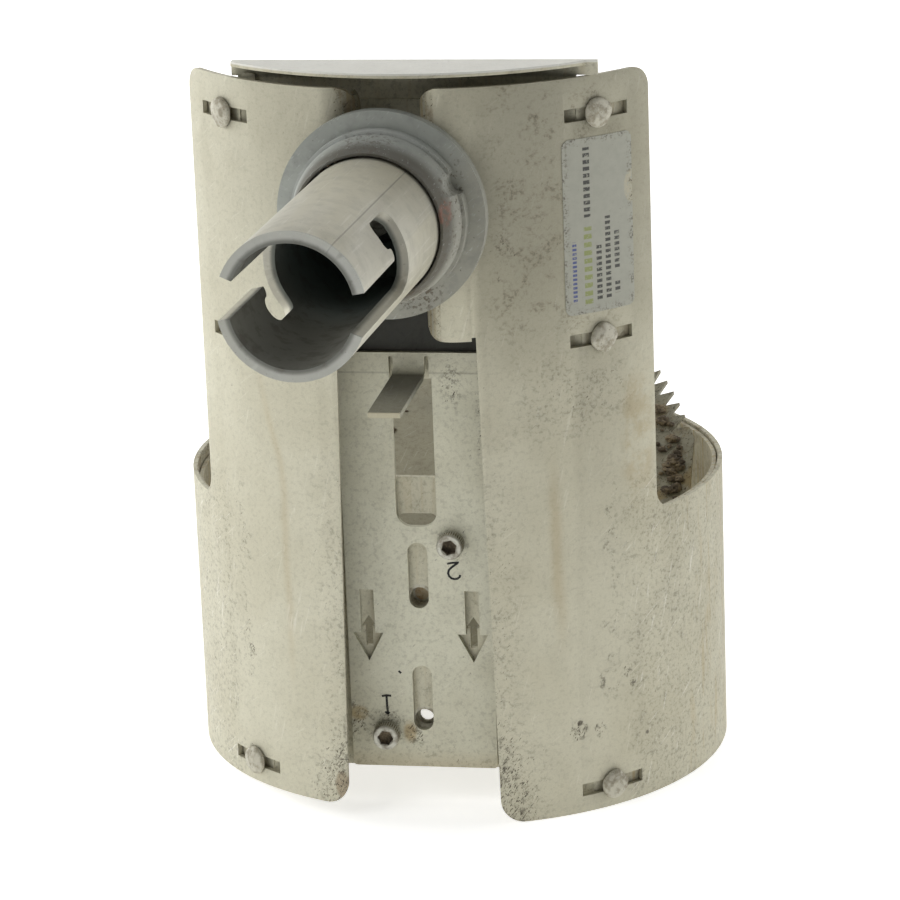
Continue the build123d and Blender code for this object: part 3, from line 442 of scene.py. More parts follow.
def frame_finish(look):
    """Inner frame sheets: darker, soiled, with tide marks low down, painted shadow on the base plate behind
    the disc, a painted highlight on the top lip and painted shade under it.
    """
    board = Board("frame_steel")
    x, y, z = board.split(board.place())
    angle, radius = board.wrap(x, y)
    marks = sheet_marks(board, angle * DEGREE_LENGTH * 0.9, z, radius)
    behind = y.ramp(-54.4, -53.6)
    low = z.ramp(60.0, 10.0)
    ring = radius.ramp(66.0, 68.0) * behind
    density = (0.22 + behind * 0.42 + low * 0.15 - ring * 0.36).least(1.0)
    runs = board.noise(board.join(x * 0.7, z * 0.03, y * 0.7), 0.9, 2.0)
    ochre = runs.ramp(0.52, 0.66) * (0.12 + behind * 0.4)
    clay = behind * marks.mottle.ramp(0.47, 0.60) * (0.6 - ring * 0.3)
    warm = 0.12 + 0.35 * behind
    colour, metallic, roughness, normal = worn_sheet(
        board, look, marks, look.steel, density, warm, ochre, clay, behind * 0.4)
    across = abs(x + 2.0).ramp(22.0, 19.0)
    # Painted shadow: the base plate's front face above the slide plate's top, behind the disc and lips, is
    # made nearly black.
    painted_shadow = y.ramp(-54.7, -55.2) * across * z.ramp(123.6, 124.6) * z.ramp(186.0, 176.0)
    # Painted shade: the band under the top lip, from z 195.5 to 199, is darkened.
    head = radius.ramp(71.0, 70.0) * z.ramp(195.5, 196.3) * z.ramp(199.0, 198.7)
    colour = board.coats(
        colour,
        (painted_shadow * 0.94, (0.022, 0.023, 0.022)),
        # Painted highlight: the top of the lip, above z 199.3, is lightened where light falls on it.
        (z.ramp(199.3, 199.7) * 0.7, (0.80, 0.80, 0.77)),
        (head * 0.4, (0.035, 0.034, 0.028)))
    return board.finish(colour, metallic, roughness, normal)


def plate_finish(look):
    """The slide plate: the cleanest sheet, with a few brown smears near its screws, painted shade on its
    tab's top and at z 119, and a painted highlight on the tab's end.
    """
    board = Board("plate_steel")
    x, y, z = board.split(board.place())
    marks = sheet_marks(board, x, z, y)
    density = board.spot(x, z, (-21.0, 24.0), (6.0, 6.0)) * 0.7
    for place, reach, share in (((-11.4, 22.0), (6.5, 7.0), 0.7), ((-4.0, 20.0), (3.2, 5.0), 0.8),
                                ((7.5, 73.0), (6.0, 7.5), 0.5), ((17.0, 106.0), (2.4, 18.0), 0.55),
                                ((9.0, 116.0), (3.5, 8.0), 0.6)):
        density = density.most(board.spot(x, z, place, reach, 0.9) * share)
    density = (density + 0.10 + z.ramp(22.0, 12.0) * 0.2).least(1.0)
    smears = board.spot(x, z, (-19.0, 25.5), (3.4, 2.6), 0.9)
    smears = smears + board.spot(x, z, (-5.4, 20.5), (2.2, 4.0), 0.9)
    ochre = (smears * marks.mottle.ramp(0.34, 0.6) * 0.7 + z.ramp(17.0, 11.0) * 0.25).least(0.8)
    warm = z.ramp(60.0, 20.0) * 0.06
    colour, metallic, roughness, normal = worn_sheet(board, look, marks, look.plate, density, warm, ochre)
    # Painted shade: the tab's top face is darkened, more towards its root under the disc.
    tab = y.ramp(-57.6, -60.0) * (0.40 + y.ramp(-88.0, -62.0) * 0.35)
    # Painted highlight: the tab's front end face is coloured light where it faces the light.
    tab_end_painted_light = y.ramp(-92.9, -93.1)
    # Painted shade: a thin dark line along the crease at z 119.
    crease_painted_shade = abs(z - 119.0).ramp(0.35, 0.12)
    colour = board.coats(
        colour,
        (tab, (0.11, 0.108, 0.09)),
        (tab_end_painted_light * 0.8, (0.50, 0.46, 0.33)),
        (crease_painted_shade * 0.25, look.soil))
    return board.finish(colour, metallic, roughness, normal)


def flap_finish(look):
    """The flap and its hinge leaf: dark water-stained sheet with rust-coloured soil."""
    board = Board("flap_steel")
    where = board.place()
    x, y, z = board.split(where)
    marks = sheet_marks(board, x, y * 1.3, z)
    blotch = board.noise(where, 0.07, 5.0, 0.65, 0.4)
    outer = abs(x).ramp(20.0, 34.0)
    density = (0.16 + outer * (0.34 + blotch * 0.5)).least(1.0)
    ochre = blotch.ramp(0.50, 0.62) * outer * 0.6
    clay = board.noise(where, 0.11, 4.0, 0.6).ramp(0.55, 0.66) * outer * 0.55
    colour, metallic, roughness, normal = worn_sheet(
        board, look, marks, darker(look.steel, 0.55), density, 0.3, ochre, clay, 0.3)
    return board.finish(colour, metallic, roughness, normal)


# ---- key socket finishes ----


def socket_axes(board):
    """Round the key socket's axis: right, up, out and radius in mm, and degrees clockwise from up."""
    x, y, z = board.split(board.place())
    root = KEY_ROOT / MM
    beside = x - root.x
    before = y - root.y
    right = beside * KEY_RIGHT.x + before * KEY_RIGHT.y
    out = beside * KEY_OUT.x + before * KEY_OUT.y
    up = z - root.z
    radius = board.maths("SQRT", right * right + up * up)
    turn = board.maths("ARCTAN2", right, up) * math.degrees(1.0)
    return right, up, out, radius, turn


def tube_finish(look):
    """The socket tube: smooth worn steel with a seam, painted shade inside its bore, and scuffed at its
    slots.
    """
    board = Board("tube_steel")
    right, up, out, radius, turn = socket_axes(board)
    where = board.join(right, up, out)
    along = board.noise(board.join(right * 1.2, up * 1.2, out * 0.06), 0.9, 3.0, 0.5)
    cloud = board.noise(board.join(right, up, out * 0.25), 0.06, 3.0, 0.5)
    mottle = board.noise(where, 0.22, 5.0, 0.62)
    specks = board.noise(where, 1.3, 3.0, 0.6)
    inside = radius.ramp(16.6, 15.3)
    deep_painted_shade = inside * out.ramp(62.0, 30.0)
    rim = out.ramp(90.2, 90.8)
    seam = abs(turn - 35.0).ramp(0.9, 0.25)
    seam_side = turn.span(36.0, 74.0, 1.2) * 0.12
    dirt = specks.ramp(0.66, 0.72) * (0.3 + 0.5 * out.ramp(26.0, 16.0))
    dirt = dirt + inside * mottle.ramp(0.5, 0.62) * 0.35
    colour = board.coats(
        look.steel_cool,
        (cloud.ramp(0.3, 0.7) * 0.6, look.steel_warm),
        (mottle.ramp(0.42, 0.7) * 0.25, darker(look.steel_cool, 0.55)),
        (along.ramp(0.6, 0.7) * 0.18 * look.scratch_amount, (0.80, 0.79, 0.74)),
        (seam_side + seam * 0.55, darker(look.steel_cool, 0.35)),
        (rim * 0.62, (0.36, 0.375, 0.36)),
        # Painted shade: the bore is darkened, and darker still far inside.
        (inside * 0.82, (0.115, 0.118, 0.10)),
        (deep_painted_shade * 0.85, (0.12, 0.15, 0.14)),
        (dirt.least(0.9) * look.soil_amount, look.soil))
    metallic = 0.50 - 0.45 * (inside * 0.8 + dirt * 0.5).least(1.0)
    roughness = (0.40 + 0.18 * mottle + 0.30 * inside + 0.1 * cloud).least(0.95)
    normal = board.bump(mottle, 0.12, 0.6)
    normal = board.bump(along, 0.03, 0.5, normal)
    normal = board.bump(1.0 - seam, 0.12, 0.6, normal)
    return board.finish(colour, metallic, roughness, normal)


def disc_grit(board, right, up, specks):
    """Grit on the disc: low down, on its head and along its right side."""
    grit = board.spot(right, up, (8.0, -19.0), (9.0, 7.0), 0.8) * specks.ramp(0.50, 0.62) * 0.85
    grit = grit.most(board.spot(right, up, (-1.0, 20.3), (9.0, 2.0), 0.9) * specks.ramp(0.50, 0.60) * 0.5)
    grit = grit.most(board.spot(right, up, (19.0, 3.0), (3.5, 16.0), 0.8) * specks.ramp(0.55, 0.64) * 0.7)
    return grit.most(specks.ramp(0.70, 0.74) * 0.8)


def disc_finish(look):
    """The cast disc and cam: blue-grey, tan and gritty low on the right, with a trace of red paint, painted
    shade on the hub's face and a painted highlight along the boss's upper left edge.
    """
    board = Board("disc_zinc")
    right, up, out, radius, turn = socket_axes(board)
    where = board.join(right, up, out)
    cloud = board.noise(where, 0.07, 4.0, 0.55)
    mottle = board.noise(where, 0.25, 5.0, 0.65)
    specks = board.noise(where, 1.0, 3.0, 0.62)
    turned = board.noise(board.join(radius * 2.6, out * 2.6, turn * 0.01), 1.0, 2.0, 0.5)
    low_right = (right * 0.75 - up * 0.65 + (cloud - 0.5) * 18.0).ramp(-5.0, 13.0)
    # Painted shade: the hub's face, beyond 9.5 mm out, is darkened nearly to black.
    face = out.ramp(9.5, 15.0)
    upper_left = (right * 0.8 - up * 0.6).ramp(4.0, -14.0)
    # Painted highlight: a light line along the boss's upper left edge, where light falls.
    ledge_painted_highlight = abs(radius - 22.0).ramp(0.9, 0.3) * upper_left * out.ramp(3.0, 4.0)
    wipe = board.noise(board.join(right * 0.35 + up * 0.35, up * 1.5 - right * 1.5, out), 0.9, 2.0)
    base_ring = radius.ramp(19.0, 18.2) * out.ramp(13.0, 16.0) * (mottle.ramp(0.44, 0.56) * 0.6 + 0.3)
    grit = disc_grit(board, right, up, specks)
    paint = board.spot(right, up, (19.4, 4.0), (1.5, 4.0), 0.8) * face * mottle.ramp(0.42, 0.55)
    colour = board.coats(
        look.zinc,
        (cloud.ramp(0.35, 0.65) * 0.5, darker(look.zinc, 1.28)),
        (low_right * 0.62, (0.30, 0.285, 0.225)),
        (face * 0.86, (0.082, 0.073, 0.053)),
        (ledge_painted_highlight * 0.5, (0.52, 0.53, 0.51)),
        (mottle.ramp(0.45, 0.68) * 0.3, darker(look.zinc, 0.6)),
        (wipe.ramp(0.64, 0.72) * 0.25 * look.scratch_amount, (0.66, 0.68, 0.68)),
        (base_ring, (0.012, 0.011, 0.010)),
        (grit * look.soil_amount, darker(look.soil, 1.6)),
        (paint * 0.35, (0.40, 0.13, 0.08)))
    dull = (grit + low_right * 0.5 + paint).least(1.0)
    roughness = (0.44 + 0.16 * mottle + 0.3 * dull).least(0.95)
    normal = board.bump(mottle, 0.16, 0.6)
    normal = board.bump(grit + specks * 0.3, 0.12, 0.7, normal)
    normal = board.bump(turned, 0.02, 0.4, normal)
    return board.finish(colour, 0.38 - 0.35 * dull, roughness, normal)


# ---- small finishes ----


def small_metal(name, look, clean, stained, stain_share, metallic, rough):
    """Rivets, screws and the like: bright where touched, dirt in the low places."""
    board = Board(name)
    where = board.place()
    mottle = board.noise(where, 0.45, 5.0, 0.65)
    specks = board.noise(where, 1.6, 3.0, 0.6)
    streaks = board.noise(where, 3.4, 2.0, 0.5, 0.6)
    stain = mottle.ramp(0.42, 0.66) * stain_share
    dirt = specks.ramp(0.62, 0.70) * 0.55 * look.soil_amount
    colour = board.coats(
        clean,
        (stain, stained),
        (streaks.ramp(0.6, 0.7) * 0.2, darker(clean, 1.25)),
        (dirt, look.soil))
    normal = board.bump(mottle + specks * 0.4, 0.07, 0.7)
    return board.finish(colour, metallic - (stain + dirt) * metallic * 0.7,
                        (rough + stain * 0.25 + dirt * 0.3).least(0.95), normal)


LABEL_LEFT = 33.4  # degrees round the shell
LABEL_FOOT = 135.0
LABEL_WIDTH = 21.1
LABEL_HEIGHT = 45.4
INK = (0.03, 0.03, 0.03)
FADED_INK = (0.04, 0.04, 0.04)

# Each bar on the label: its left and right, its low and high end, and its ink
LABEL_BARS = (
    ((2.2, 3.4), (3.0, 19.0), (0.06, 0.08, 0.26)),
    ((5.6, 7.9), (2.4, 22.5), (0.27, 0.31, 0.10)),
    ((5.8, 7.7), (25.0, 43.0), INK),
    ((9.2, 10.8), (3.0, 17.5), INK),
    ((12.0, 13.6), (3.0, 24.5), INK),
    ((14.8, 16.4), (4.0, 7.4), FADED_INK),
    ((14.8, 16.4), (10.5, 20.5), FADED_INK),
)


def label_finish(look):
    """The label: pale worn film, generic bars instead of print, scuffed round its edges."""
    board = Board("label_film")
    x, y, z = board.split(board.place())
    across = (board.wrap(x, y)[0] - LABEL_LEFT) * DEGREE_LENGTH
    up = z - LABEL_FOOT
    sheet = board.join(across, up, 0.0)
    mottle = board.noise(sheet, 0.35, 5.0, 0.62)
    specks = board.noise(sheet, 1.5, 3.0, 0.62)
    edge = across.least(LABEL_WIDTH - across).least(up.least(LABEL_HEIGHT - up))
    colour = board.mix(mottle.ramp(0.35, 0.7) * 0.35, look.film, darker(look.film, 0.78))
    print_wear = specks.ramp(0.68, 0.56) * mottle.ramp(0.70, 0.60)
    for (left, right), (low, high), ink in LABEL_BARS:
        stroke_pitch = (right - left) * 0.92
        strokes = board.maths("FRACT", up / stroke_pitch).span(0.16, 0.74, 0.05)
        bar = across.span(left, right, 0.12) * up.span(low, high, 0.12) * strokes * print_wear
        colour = board.mix(bar * 0.90, colour, ink)
    scuff = edge.ramp(2.4, 0.2) * specks.ramp(0.46, 0.60) * mottle.ramp(0.42, 0.60)
    tear = board.spot(across, up, (20.8, 31.0), (2.6, 4.6), 0.3) * specks.ramp(0.34, 0.5)
    colour = board.mix((tear * 0.9).least(1.0), colour, look.steel_warm)
    colour = board.mix((scuff * 0.8 + specks.ramp(0.68, 0.72) * 0.6).least(1.0), colour, look.soil)
    normal = board.bump(mottle + scuff, 0.05, 0.6)
    return board.finish(colour, 0.0, 0.52 + 0.25 * mottle, normal)


def lump_finish(name, look):
    """Dried soil: crumbly, from sandy to nearly black."""
    board = Board(name)
    where = board.place()
    grit = board.noise(where, 1.8, 4.0, 0.7)
    patch = board.noise(where, 0.3, 3.0, 0.6)
    colour = board.coats(
        darker(look.soil, 1.5),
        (patch.ramp(0.38, 0.62), look.clay),
        (grit.ramp(0.40, 0.62) * 0.6, look.soil))
    return board.finish(colour, 0.0, 0.95, board.bump(grit, 0.35, 0.9))


# ---- shapes ----


def six_sided(flats):
    """A radius function for a hexagon, from its size across flats."""
    def radius(turn):
        away = (turn + math.pi / 6) % (math.pi / 3) - math.pi / 6
        return flats / 2 / math.cos(away)
    return radius


def even(size):
    return lambda turn: size


def chamfered(flats, limit):
    """A hexagon whose corners are cut back to a circle."""
    hexagon = six_sided(flats)
    return lambda turn: min(hexagon(turn), limit)


def ring_stack(mesh, stack, place, steps, bored=False):
    """Joins rings of points, each a radius function and a height; the ends are closed, or it is bored."""
    rings = []
    for radius, height in stack:
        ring = []
        for step in range(steps):
            turn = 2 * math.pi * step / steps
            size = radius(turn)
            point = Vector((size * math.cos(turn), size * math.sin(turn), height))
            ring.append(mesh.verts.new(place @ point))
        rings.append(ring)
    joins = list(zip(rings, rings[1:]))
    if bored:
        joins.append((rings[-1], rings[0]))
    for low, high in joins:
        for step in range(steps):
            after = (step + 1) % steps
            mesh.faces.new((low[step], low[after], high[after], high[step]))
    if not bored:
        mesh.faces.new(list(reversed(rings[0])))
        mesh.faces.new(rings[-1])


ROWS_PER_TURN = 8


def thread_rings(size, depth, pitch, start, end):
    """Rings of a screw thread, from one height to another."""
    rows = int(abs(end - start) / pitch * ROWS_PER_TURN)
    rings = []
    for row in range(rows + 1):
        height = start + (end - start) * row / rows

        def radius(turn, height=height):
            phase = (height / pitch - turn / (2 * math.pi)) % 1.0
            return size - depth * (1.0 - abs(2.0 * phase - 1.0))
        rings.append((radius, height))
    return rings


def towards(place, out, up=Vector((0, 0, 1))):
    """A matrix whose z axis points outwards from a place, in metres."""
    z_axis = Vector(out).normalized()
    x_axis = up.cross(z_axis).normalized()
    y_axis = z_axis.cross(x_axis)
    turn = Matrix((x_axis, y_axis, z_axis)).transposed().to_4x4()
    return Matrix.Translation(place) @ turn


def add_piece(name, mesh, material, body, slot, smooth_angle=35.0):
    """Makes an object of a finished mesh, shaded smooth but for its sharp edges, riding on a body."""
    bmesh.ops.recalc_face_normals(mesh, faces=mesh.faces)
    data = bpy.data.meshes.new(name)
    mesh.to_mesh(data)
    mesh.free()
    piece = bpy.data.objects.new(name, data)
    bpy.context.scene.collection.objects.link(piece)
    data.materials.append(material)
    data.shade_smooth()
    data.set_sharp_from_angle(angle=math.radians(smooth_angle))
    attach(piece, body)
    return piece


def middle(node):
    low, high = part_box(node)
    return (low + high) / 2


def dress(nodes, material):
    """Gives CAD nodes a finish."""
    for name in nodes:
        data = frame["nodes"][name].data
        data.materials.clear()
        data.materials.append(material)


def round_edges(nodes, width):
    """Rounds the sheared edges of CAD nodes."""
    for name in nodes:
        node = frame["nodes"][name]
        weld = node.modifiers.new("joined", "WELD")
        weld.merge_threshold = 0.000004
        bevel = node.modifiers.new("rounded", "BEVEL")
        bevel.width = width
        bevel.segments = 2
        bevel.limit_method = "ANGLE"
        bevel.angle_limit = math.radians(42.0)
        bevel.use_clamp_overlap = True
        bevel.harden_normals = False


# ---- operators ----


class BARRIER_OT_shells(bpy.types.Operator):
    """Finish the two sliding shells"""
    bl_idname = "barrier.shells"
    bl_label = "Shells"

    def execute(self, context):
        look = context.scene.barrier_finish
        names = ("left_shell", "right_shell")
        dress(names, shell_finish(look))
        round_edges(names, look.edge_width)
        return {"FINISHED"}


class BARRIER_OT_inner_frame(bpy.types.Operator):
    """Finish the base plate, liner, straps and hinge lugs"""
    bl_idname = "barrier.inner_frame"
    bl_label = "Inner frame"

    def execute(self, context):
        look = context.scene.barrier_finish
        names = ("base_plate", "bearing_block", "liner", "left_liner_strap", "right_liner_strap",
                 "left_hinge_lug", "right_hinge_lug")
        dress(names, frame_finish(look))
        round_edges(names, look.edge_width)
        rivets = small_metal("worn_rivets", look, (0.50, 0.48, 0.39), (0.28, 0.25, 0.18), 0.9, 0.35, 0.50)
        dress(("strap_rivets", "lug_rivets", "hinge_pin", "flap_stops", "guide_eyelets"), rivets)
        bronze = small_metal("bush_bronze", look, (0.42, 0.30, 0.13), (0.14, 0.10, 0.06), 0.7, 0.7, 0.4)
        dress(("cam_bush",), bronze)
        rusty = small_metal("stud_brown", look, (0.46, 0.38, 0.25), (0.30, 0.17, 0.06), 1.0, 0.3, 0.6)
        dress(("guide_stud",), rusty)
        return {"FINISHED"}


class BARRIER_OT_slide_plate(bpy.types.Operator):
    """Finish the slide plate and its tab"""
    bl_idname = "barrier.slide_plate"
    bl_label = "Slide plate"

    def execute(self, context):
        look = context.scene.barrier_finish
        dress(("slide_plate",), plate_finish(look))
        round_edges(("slide_plate",), look.edge_width)
        return {"FINISHED"}


class BARRIER_OT_flap(bpy.types.Operator):
    """Finish the toothed flap, its hinge leaf and rivets"""
    bl_idname = "barrier.flap"
    bl_label = "Flap"

    def execute(self, context):
        look = context.scene.barrier_finish
        finish = flap_finish(look)
        dress(("flap", "flap_hinge_leaf"), finish)
        dress(("flap_rivets",), bpy.data.materials["worn_rivets"])
        round_edges(("flap_hinge_leaf",), look.edge_width)
        return {"FINISHED"}


class BARRIER_OT_key_socket(bpy.types.Operator):
    """Finish the key socket's tube, disc and cam"""
    bl_idname = "barrier.key_socket"
    bl_label = "Key socket"

    def execute(self, context):
        look = context.scene.barrier_finish
        dress(("socket_tube", "socket_floor"), tube_finish(look))
        dress(("socket_disc", "cam"), disc_finish(look))
        round_edges(("socket_tube",), look.edge_width * 2.0)
        round_edges(("socket_disc", "cam"), look.edge_width * 2.5)
        steel = small_metal("worn_screws", look, (0.52, 0.51, 0.44), (0.24, 0.21, 0.155), 0.8, 0.5, 0.42)
        dress(("cam_bolt", "lock_washer", "lock_nut", "clamp_nuts", "screw_1", "screw_2"), steel)
        return {"FINISHED"}


class BARRIER_OT_label(bpy.types.Operator):
    """Finish the worn label on the right shell"""
    bl_idname = "barrier.label"
    bl_label = "Label"

    def execute(self, context):
        dress(("label",), label_finish(context.scene.barrier_finish))
        return {"FINISHED"}


SCREW_HEAD_HEIGHT = 0.004
KNURL_DEPTH = 0.00013
KEY_MOUTH = 0.0021  # radius of the chamfer round the hexagon key


def knurled_head(radius, hardware):
    """Rings of a socket screw's head: knurled sides, a rounded rim and a hexagon key."""
    key = six_sided(hardware.key_size)

    def grooved(turn):
        return radius - KNURL_DEPTH * (0.5 - 0.5 * math.cos(turn * hardware.knurls))

    skirt = [(even(radius - inset), height) for inset, height in (
        (0.0001, 0.0), (0.00002, 0.00012), (0.00002, 0.0005))]
    side = [(grooved, 0.00065), (grooved, 0.0033)]
    rim = [(even(radius - inset), height) for inset, height in (
        (0.00012, 0.0035), (0.00022, 0.0038), (0.0005, 0.00398), (0.0008, SCREW_HEAD_HEIGHT))]
    recess = [(even(0.0022), SCREW_HEAD_HEIGHT), (even(KEY_MOUTH), 0.00392), (key, 0.00372), (key, 0.0018),
              (even(0.0009), 0.00155), (even(0.0003), 0.00148)]
    return skirt + side + rim + recess


def pack_soil(mesh, back, radius):
    """Gives the second material to a screw head's key and to the floors of its grooves."""
    for face in mesh.faces:
        spot = back @ face.calc_center_median()
        out = math.hypot(spot.x, spot.y)
        in_key = out < KEY_MOUTH and spot.z < 0.00365
        in_groove = 0.0007 < spot.z < 0.0033 and out < radius - KNURL_DEPTH * 0.6
        face.material_index = 1 if in_key or in_groove else 0


class BARRIER_OT_clamp_screws(bpy.types.Operator):
    """Make the knurled socket screws that clamp the slide plate"""
    bl_idname = "barrier.clamp_screws"
    bl_label = "Clamp screws"

    def execute(self, context):
        hardware = context.scene.barrier_hardware
        steel = bpy.data.materials["worn_screws"]
        dirt = lump_finish("packed_soil", context.scene.barrier_finish)
        for number in (1, 2):
            node = f"screw_{number}"
            low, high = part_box(node)
            centre = (low + high) / 2
            radius = (high.x - low.x) / 2
            seat_y = low.y + SCREW_HEAD_HEIGHT
            turned = Matrix.Rotation(0.4 * number, 4, "Z")
            place = towards((centre.x, seat_y, centre.z), (0, -1, 0)) @ turned
            mesh = bmesh.new()
            ring_stack(mesh, knurled_head(radius, hardware), place, hardware.knurls * 6)
            pack_soil(mesh, place.inverted(), radius)
            length = high.y - seat_y
            shank = [(even(0.0019), 0.0005)]
            shank += thread_rings(0.002, 0.0003, hardware.pitch, -0.0014, -length + 0.0004)
            shank += [(even(0.0015), -length)]
            ring_stack(mesh, shank, place, 48)
            piece = add_piece(f"socket_screw_{number}", mesh, steel, "slide", "screw_steel", 28.0)
            piece.data.materials.append(dirt)
            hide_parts(node)
        return {"FINISHED"}


BOLT_FLATS = 0.008
BOLT_SEAT = 0.0039  # from the key socket's root to the underside of the bolt's head
LOCK_NUT_HEIGHT = 0.004
LOCK_NUT_CORNER = 0.00465  # its radius over the corners


def box_corners(node):
    low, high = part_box(node)
    return [Vector((x, y, z)) for x in (low.x, high.x) for y in (low.y, high.y) for z in (low.z, high.z)]


def nut_rings(mesh, place, flats, bore, thick):
    """A hexagon nut, chamfered both ends, with a bore."""
    face = chamfered(flats, flats / 2 * 0.97)
    corner = chamfered(flats, flats / math.sqrt(3) * 0.985)
    outline = [(even(bore), 0.0), (face, 0.0), (corner, flats * 0.05), (corner, thick - flats * 0.05),
               (face, thick), (even(bore), thick)]
    ring_stack(mesh, outline, place, 72, bored=True)


class BARRIER_OT_nuts_and_bolt(bpy.types.Operator):
    """Make the chamfered nuts and the threaded cam bolt"""
    bl_idname = "barrier.nuts_and_bolt"
    bl_label = "Nuts and bolt"

    def execute(self, context):
        hardware = context.scene.barrier_hardware
        steel = bpy.data.materials["worn_screws"]
        low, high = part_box("clamp_nuts")
        mesh = bmesh.new()
        for number in (1, 2):
            centre = middle(f"screw_{number}")
            place = towards((centre.x, low.y, centre.z), (0, 1, 0))
            nut_rings(mesh, place, 0.007, 0.00205, high.y - low.y)
        nuts = add_piece("chamfered_nuts", mesh, steel, "slide", "screw_steel", 30.0)
        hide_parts("clamp_nuts")

        depths = [(corner - KEY_ROOT).dot(KEY_OUT) for corner in box_corners("lock_nut")]
        nut_face = max(depths) - LOCK_NUT_CORNER * abs(KEY_OUT.x)
        mesh = bmesh.new()
        place = towards(KEY_ROOT + KEY_OUT * nut_face, -KEY_OUT)
        nut_rings(mesh, place, BOLT_FLATS, 0.00255, LOCK_NUT_HEIGHT)
        nut = add_piece("bolt_nut", mesh, steel, "key_socket", "screw_steel", 30.0)
        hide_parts("lock_nut")

        mesh = bmesh.new()
        place = towards(KEY_ROOT + KEY_OUT * BOLT_SEAT, KEY_OUT)
        head = [(chamfered(BOLT_FLATS, limit), height) for limit, height in (
            (0.0039, 0.0), (0.0045, 0.0003), (0.0047, 0.003), (0.0042, 0.0034))]
        head += [(even(0.0038), 0.0035), (even(0.0025), 0.0035), (even(0.0022), 0.0033)]
        ring_stack(mesh, head, place, 72)
        neck = nut_face - BOLT_SEAT
        tip = neck - LOCK_NUT_HEIGHT - 0.0015
        shank = [(even(0.0024), 0.001), (even(0.0024), neck + 0.002)]
        shank += thread_rings(0.0025, 0.00035, hardware.bolt_pitch, neck + 0.0015, tip + 0.0004)
        shank += [(even(0.0018), tip)]
        ring_stack(mesh, shank, place, 60)
        bolt = add_piece("threaded_bolt", mesh, steel, "key_socket", "screw_steel", 30.0)
        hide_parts("cam_bolt")
        return {"FINISHED"}


RIVET_ANGLE = 41.8  # degrees from the front, each side
RIVET_LEVELS = (6.2, 128.2, 186.5)  # mm, the first from its shell's foot
LEFT_FOOT = 4.0  # mm that the left shell's foot stands higher
HEAD_SEAT = 0.0723  # from the pipe axis to the underside of a head
RIVET_TAIL = -0.0035  # from there to the tail's end

# A rivet head's rings: radius, share of unevenness and height
HAMMERED_RINGS = (
    (0.0038, 0.3, 0.0), (0.0039, 0.5, 0.00012), (0.00382, 0.6, 0.00055), (0.0036, 0.9, 0.00095),
    (0.0030, 1.0, 0.00122), (0.0023, 1.2, 0.00134), (0.0019, 1.2, 0.00150), (0.0016, 1.2, 0.00163),
    (0.0009, 1.0, 0.00160))


def hammered_outline(rng):
    """A maker of radius functions for one rivet: round, with a few lobes and eight flats."""
    lobes = [(rng.randint(2, 4), rng.uniform(0, 6.3), rng.uniform(0.02, 0.05)) for _ in range(2)]
    phase = rng.uniform(0, 6.3)

    def hammered(size, share):
        def radius(turn):
            uneven = sum(depth * math.sin(count * turn + start) for count, start, depth in lobes)
            flat = (turn * 8 / (2 * math.pi) + phase) % 1.0 - 0.5
            return size * (1.0 + share * uneven - share * 0.10 * (0.25 - flat * flat))
        return radius
    return hammered


class BARRIER_OT_guide_rivets(bpy.types.Operator):
    """Make the hammered rivets that run in the shells' slots"""
    bl_idname = "barrier.guide_rivets"
    bl_label = "Guide rivets"

    def execute(self, context):
        rng = random.Random(7)
        mesh = bmesh.new()
        for side, foot in ((-1, LEFT_FOOT), (1, 0.0)):
            for level in (foot + RIVET_LEVELS[0], *RIVET_LEVELS[1:]):
                angle = math.radians(side * RIVET_ANGLE)
                out = Vector((math.sin(angle), -math.cos(angle), 0.0))
                place = towards(out * HEAD_SEAT + Vector((0, 0, level * MM)), out)
                hammered = hammered_outline(rng)
                stack = [(even(0.0018), RIVET_TAIL - 0.0001), (even(0.0025), RIVET_TAIL + 0.0002),
                         (even(0.0026), -0.0026), (even(0.0014), -0.0026), (even(0.0014), 0.0)]
                stack += [(hammered(size, share), height) for size, share, height in HAMMERED_RINGS]
                stack += [(even(0.0003), 0.00157)]
                ring_stack(mesh, stack, place, 64)
        finish = bpy.data.materials["worn_rivets"]
        piece = add_piece("hammered_rivets", mesh, finish, "frame", "rivet_steel", 40.0)
        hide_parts("guide_rivets")
        return {"FINISHED"}


def stroke(mesh, points, width, y, thick):
    """A flat marked stroke through points of x and z in mm, just proud of the face at y, in metres."""
    half = width / 2
    outline = []
    back = []
    for index, (x, z) in enumerate(points):
        before = points[max(0, index - 1)]
        after = points[min(len(points) - 1, index + 1)]
        along = Vector((after[0] - before[0], after[1] - before[1])).normalized()
        side = Vector((-along.y, along.x)) * half
        outline.append((x + side.x, z + side.y))
        back.append((x - side.x, z - side.y))
    corners = outline + list(reversed(back))
    front = [mesh.verts.new((x * MM, y - thick, z * MM)) for x, z in corners]
    rear = [mesh.verts.new((x * MM, y + thick, z * MM)) for x, z in corners]
    count = len(corners)
    for step in range(count):
        after = (step + 1) % count
        mesh.faces.new((front[step], front[after], rear[after], rear[step]))
    for step in range(len(points) - 1):
        ends = (step, step + 1, count - 2 - step, count - 1 - step)
        mesh.faces.new([front[i] for i in ends])
        mesh.faces.new([rear[i] for i in reversed(ends)])


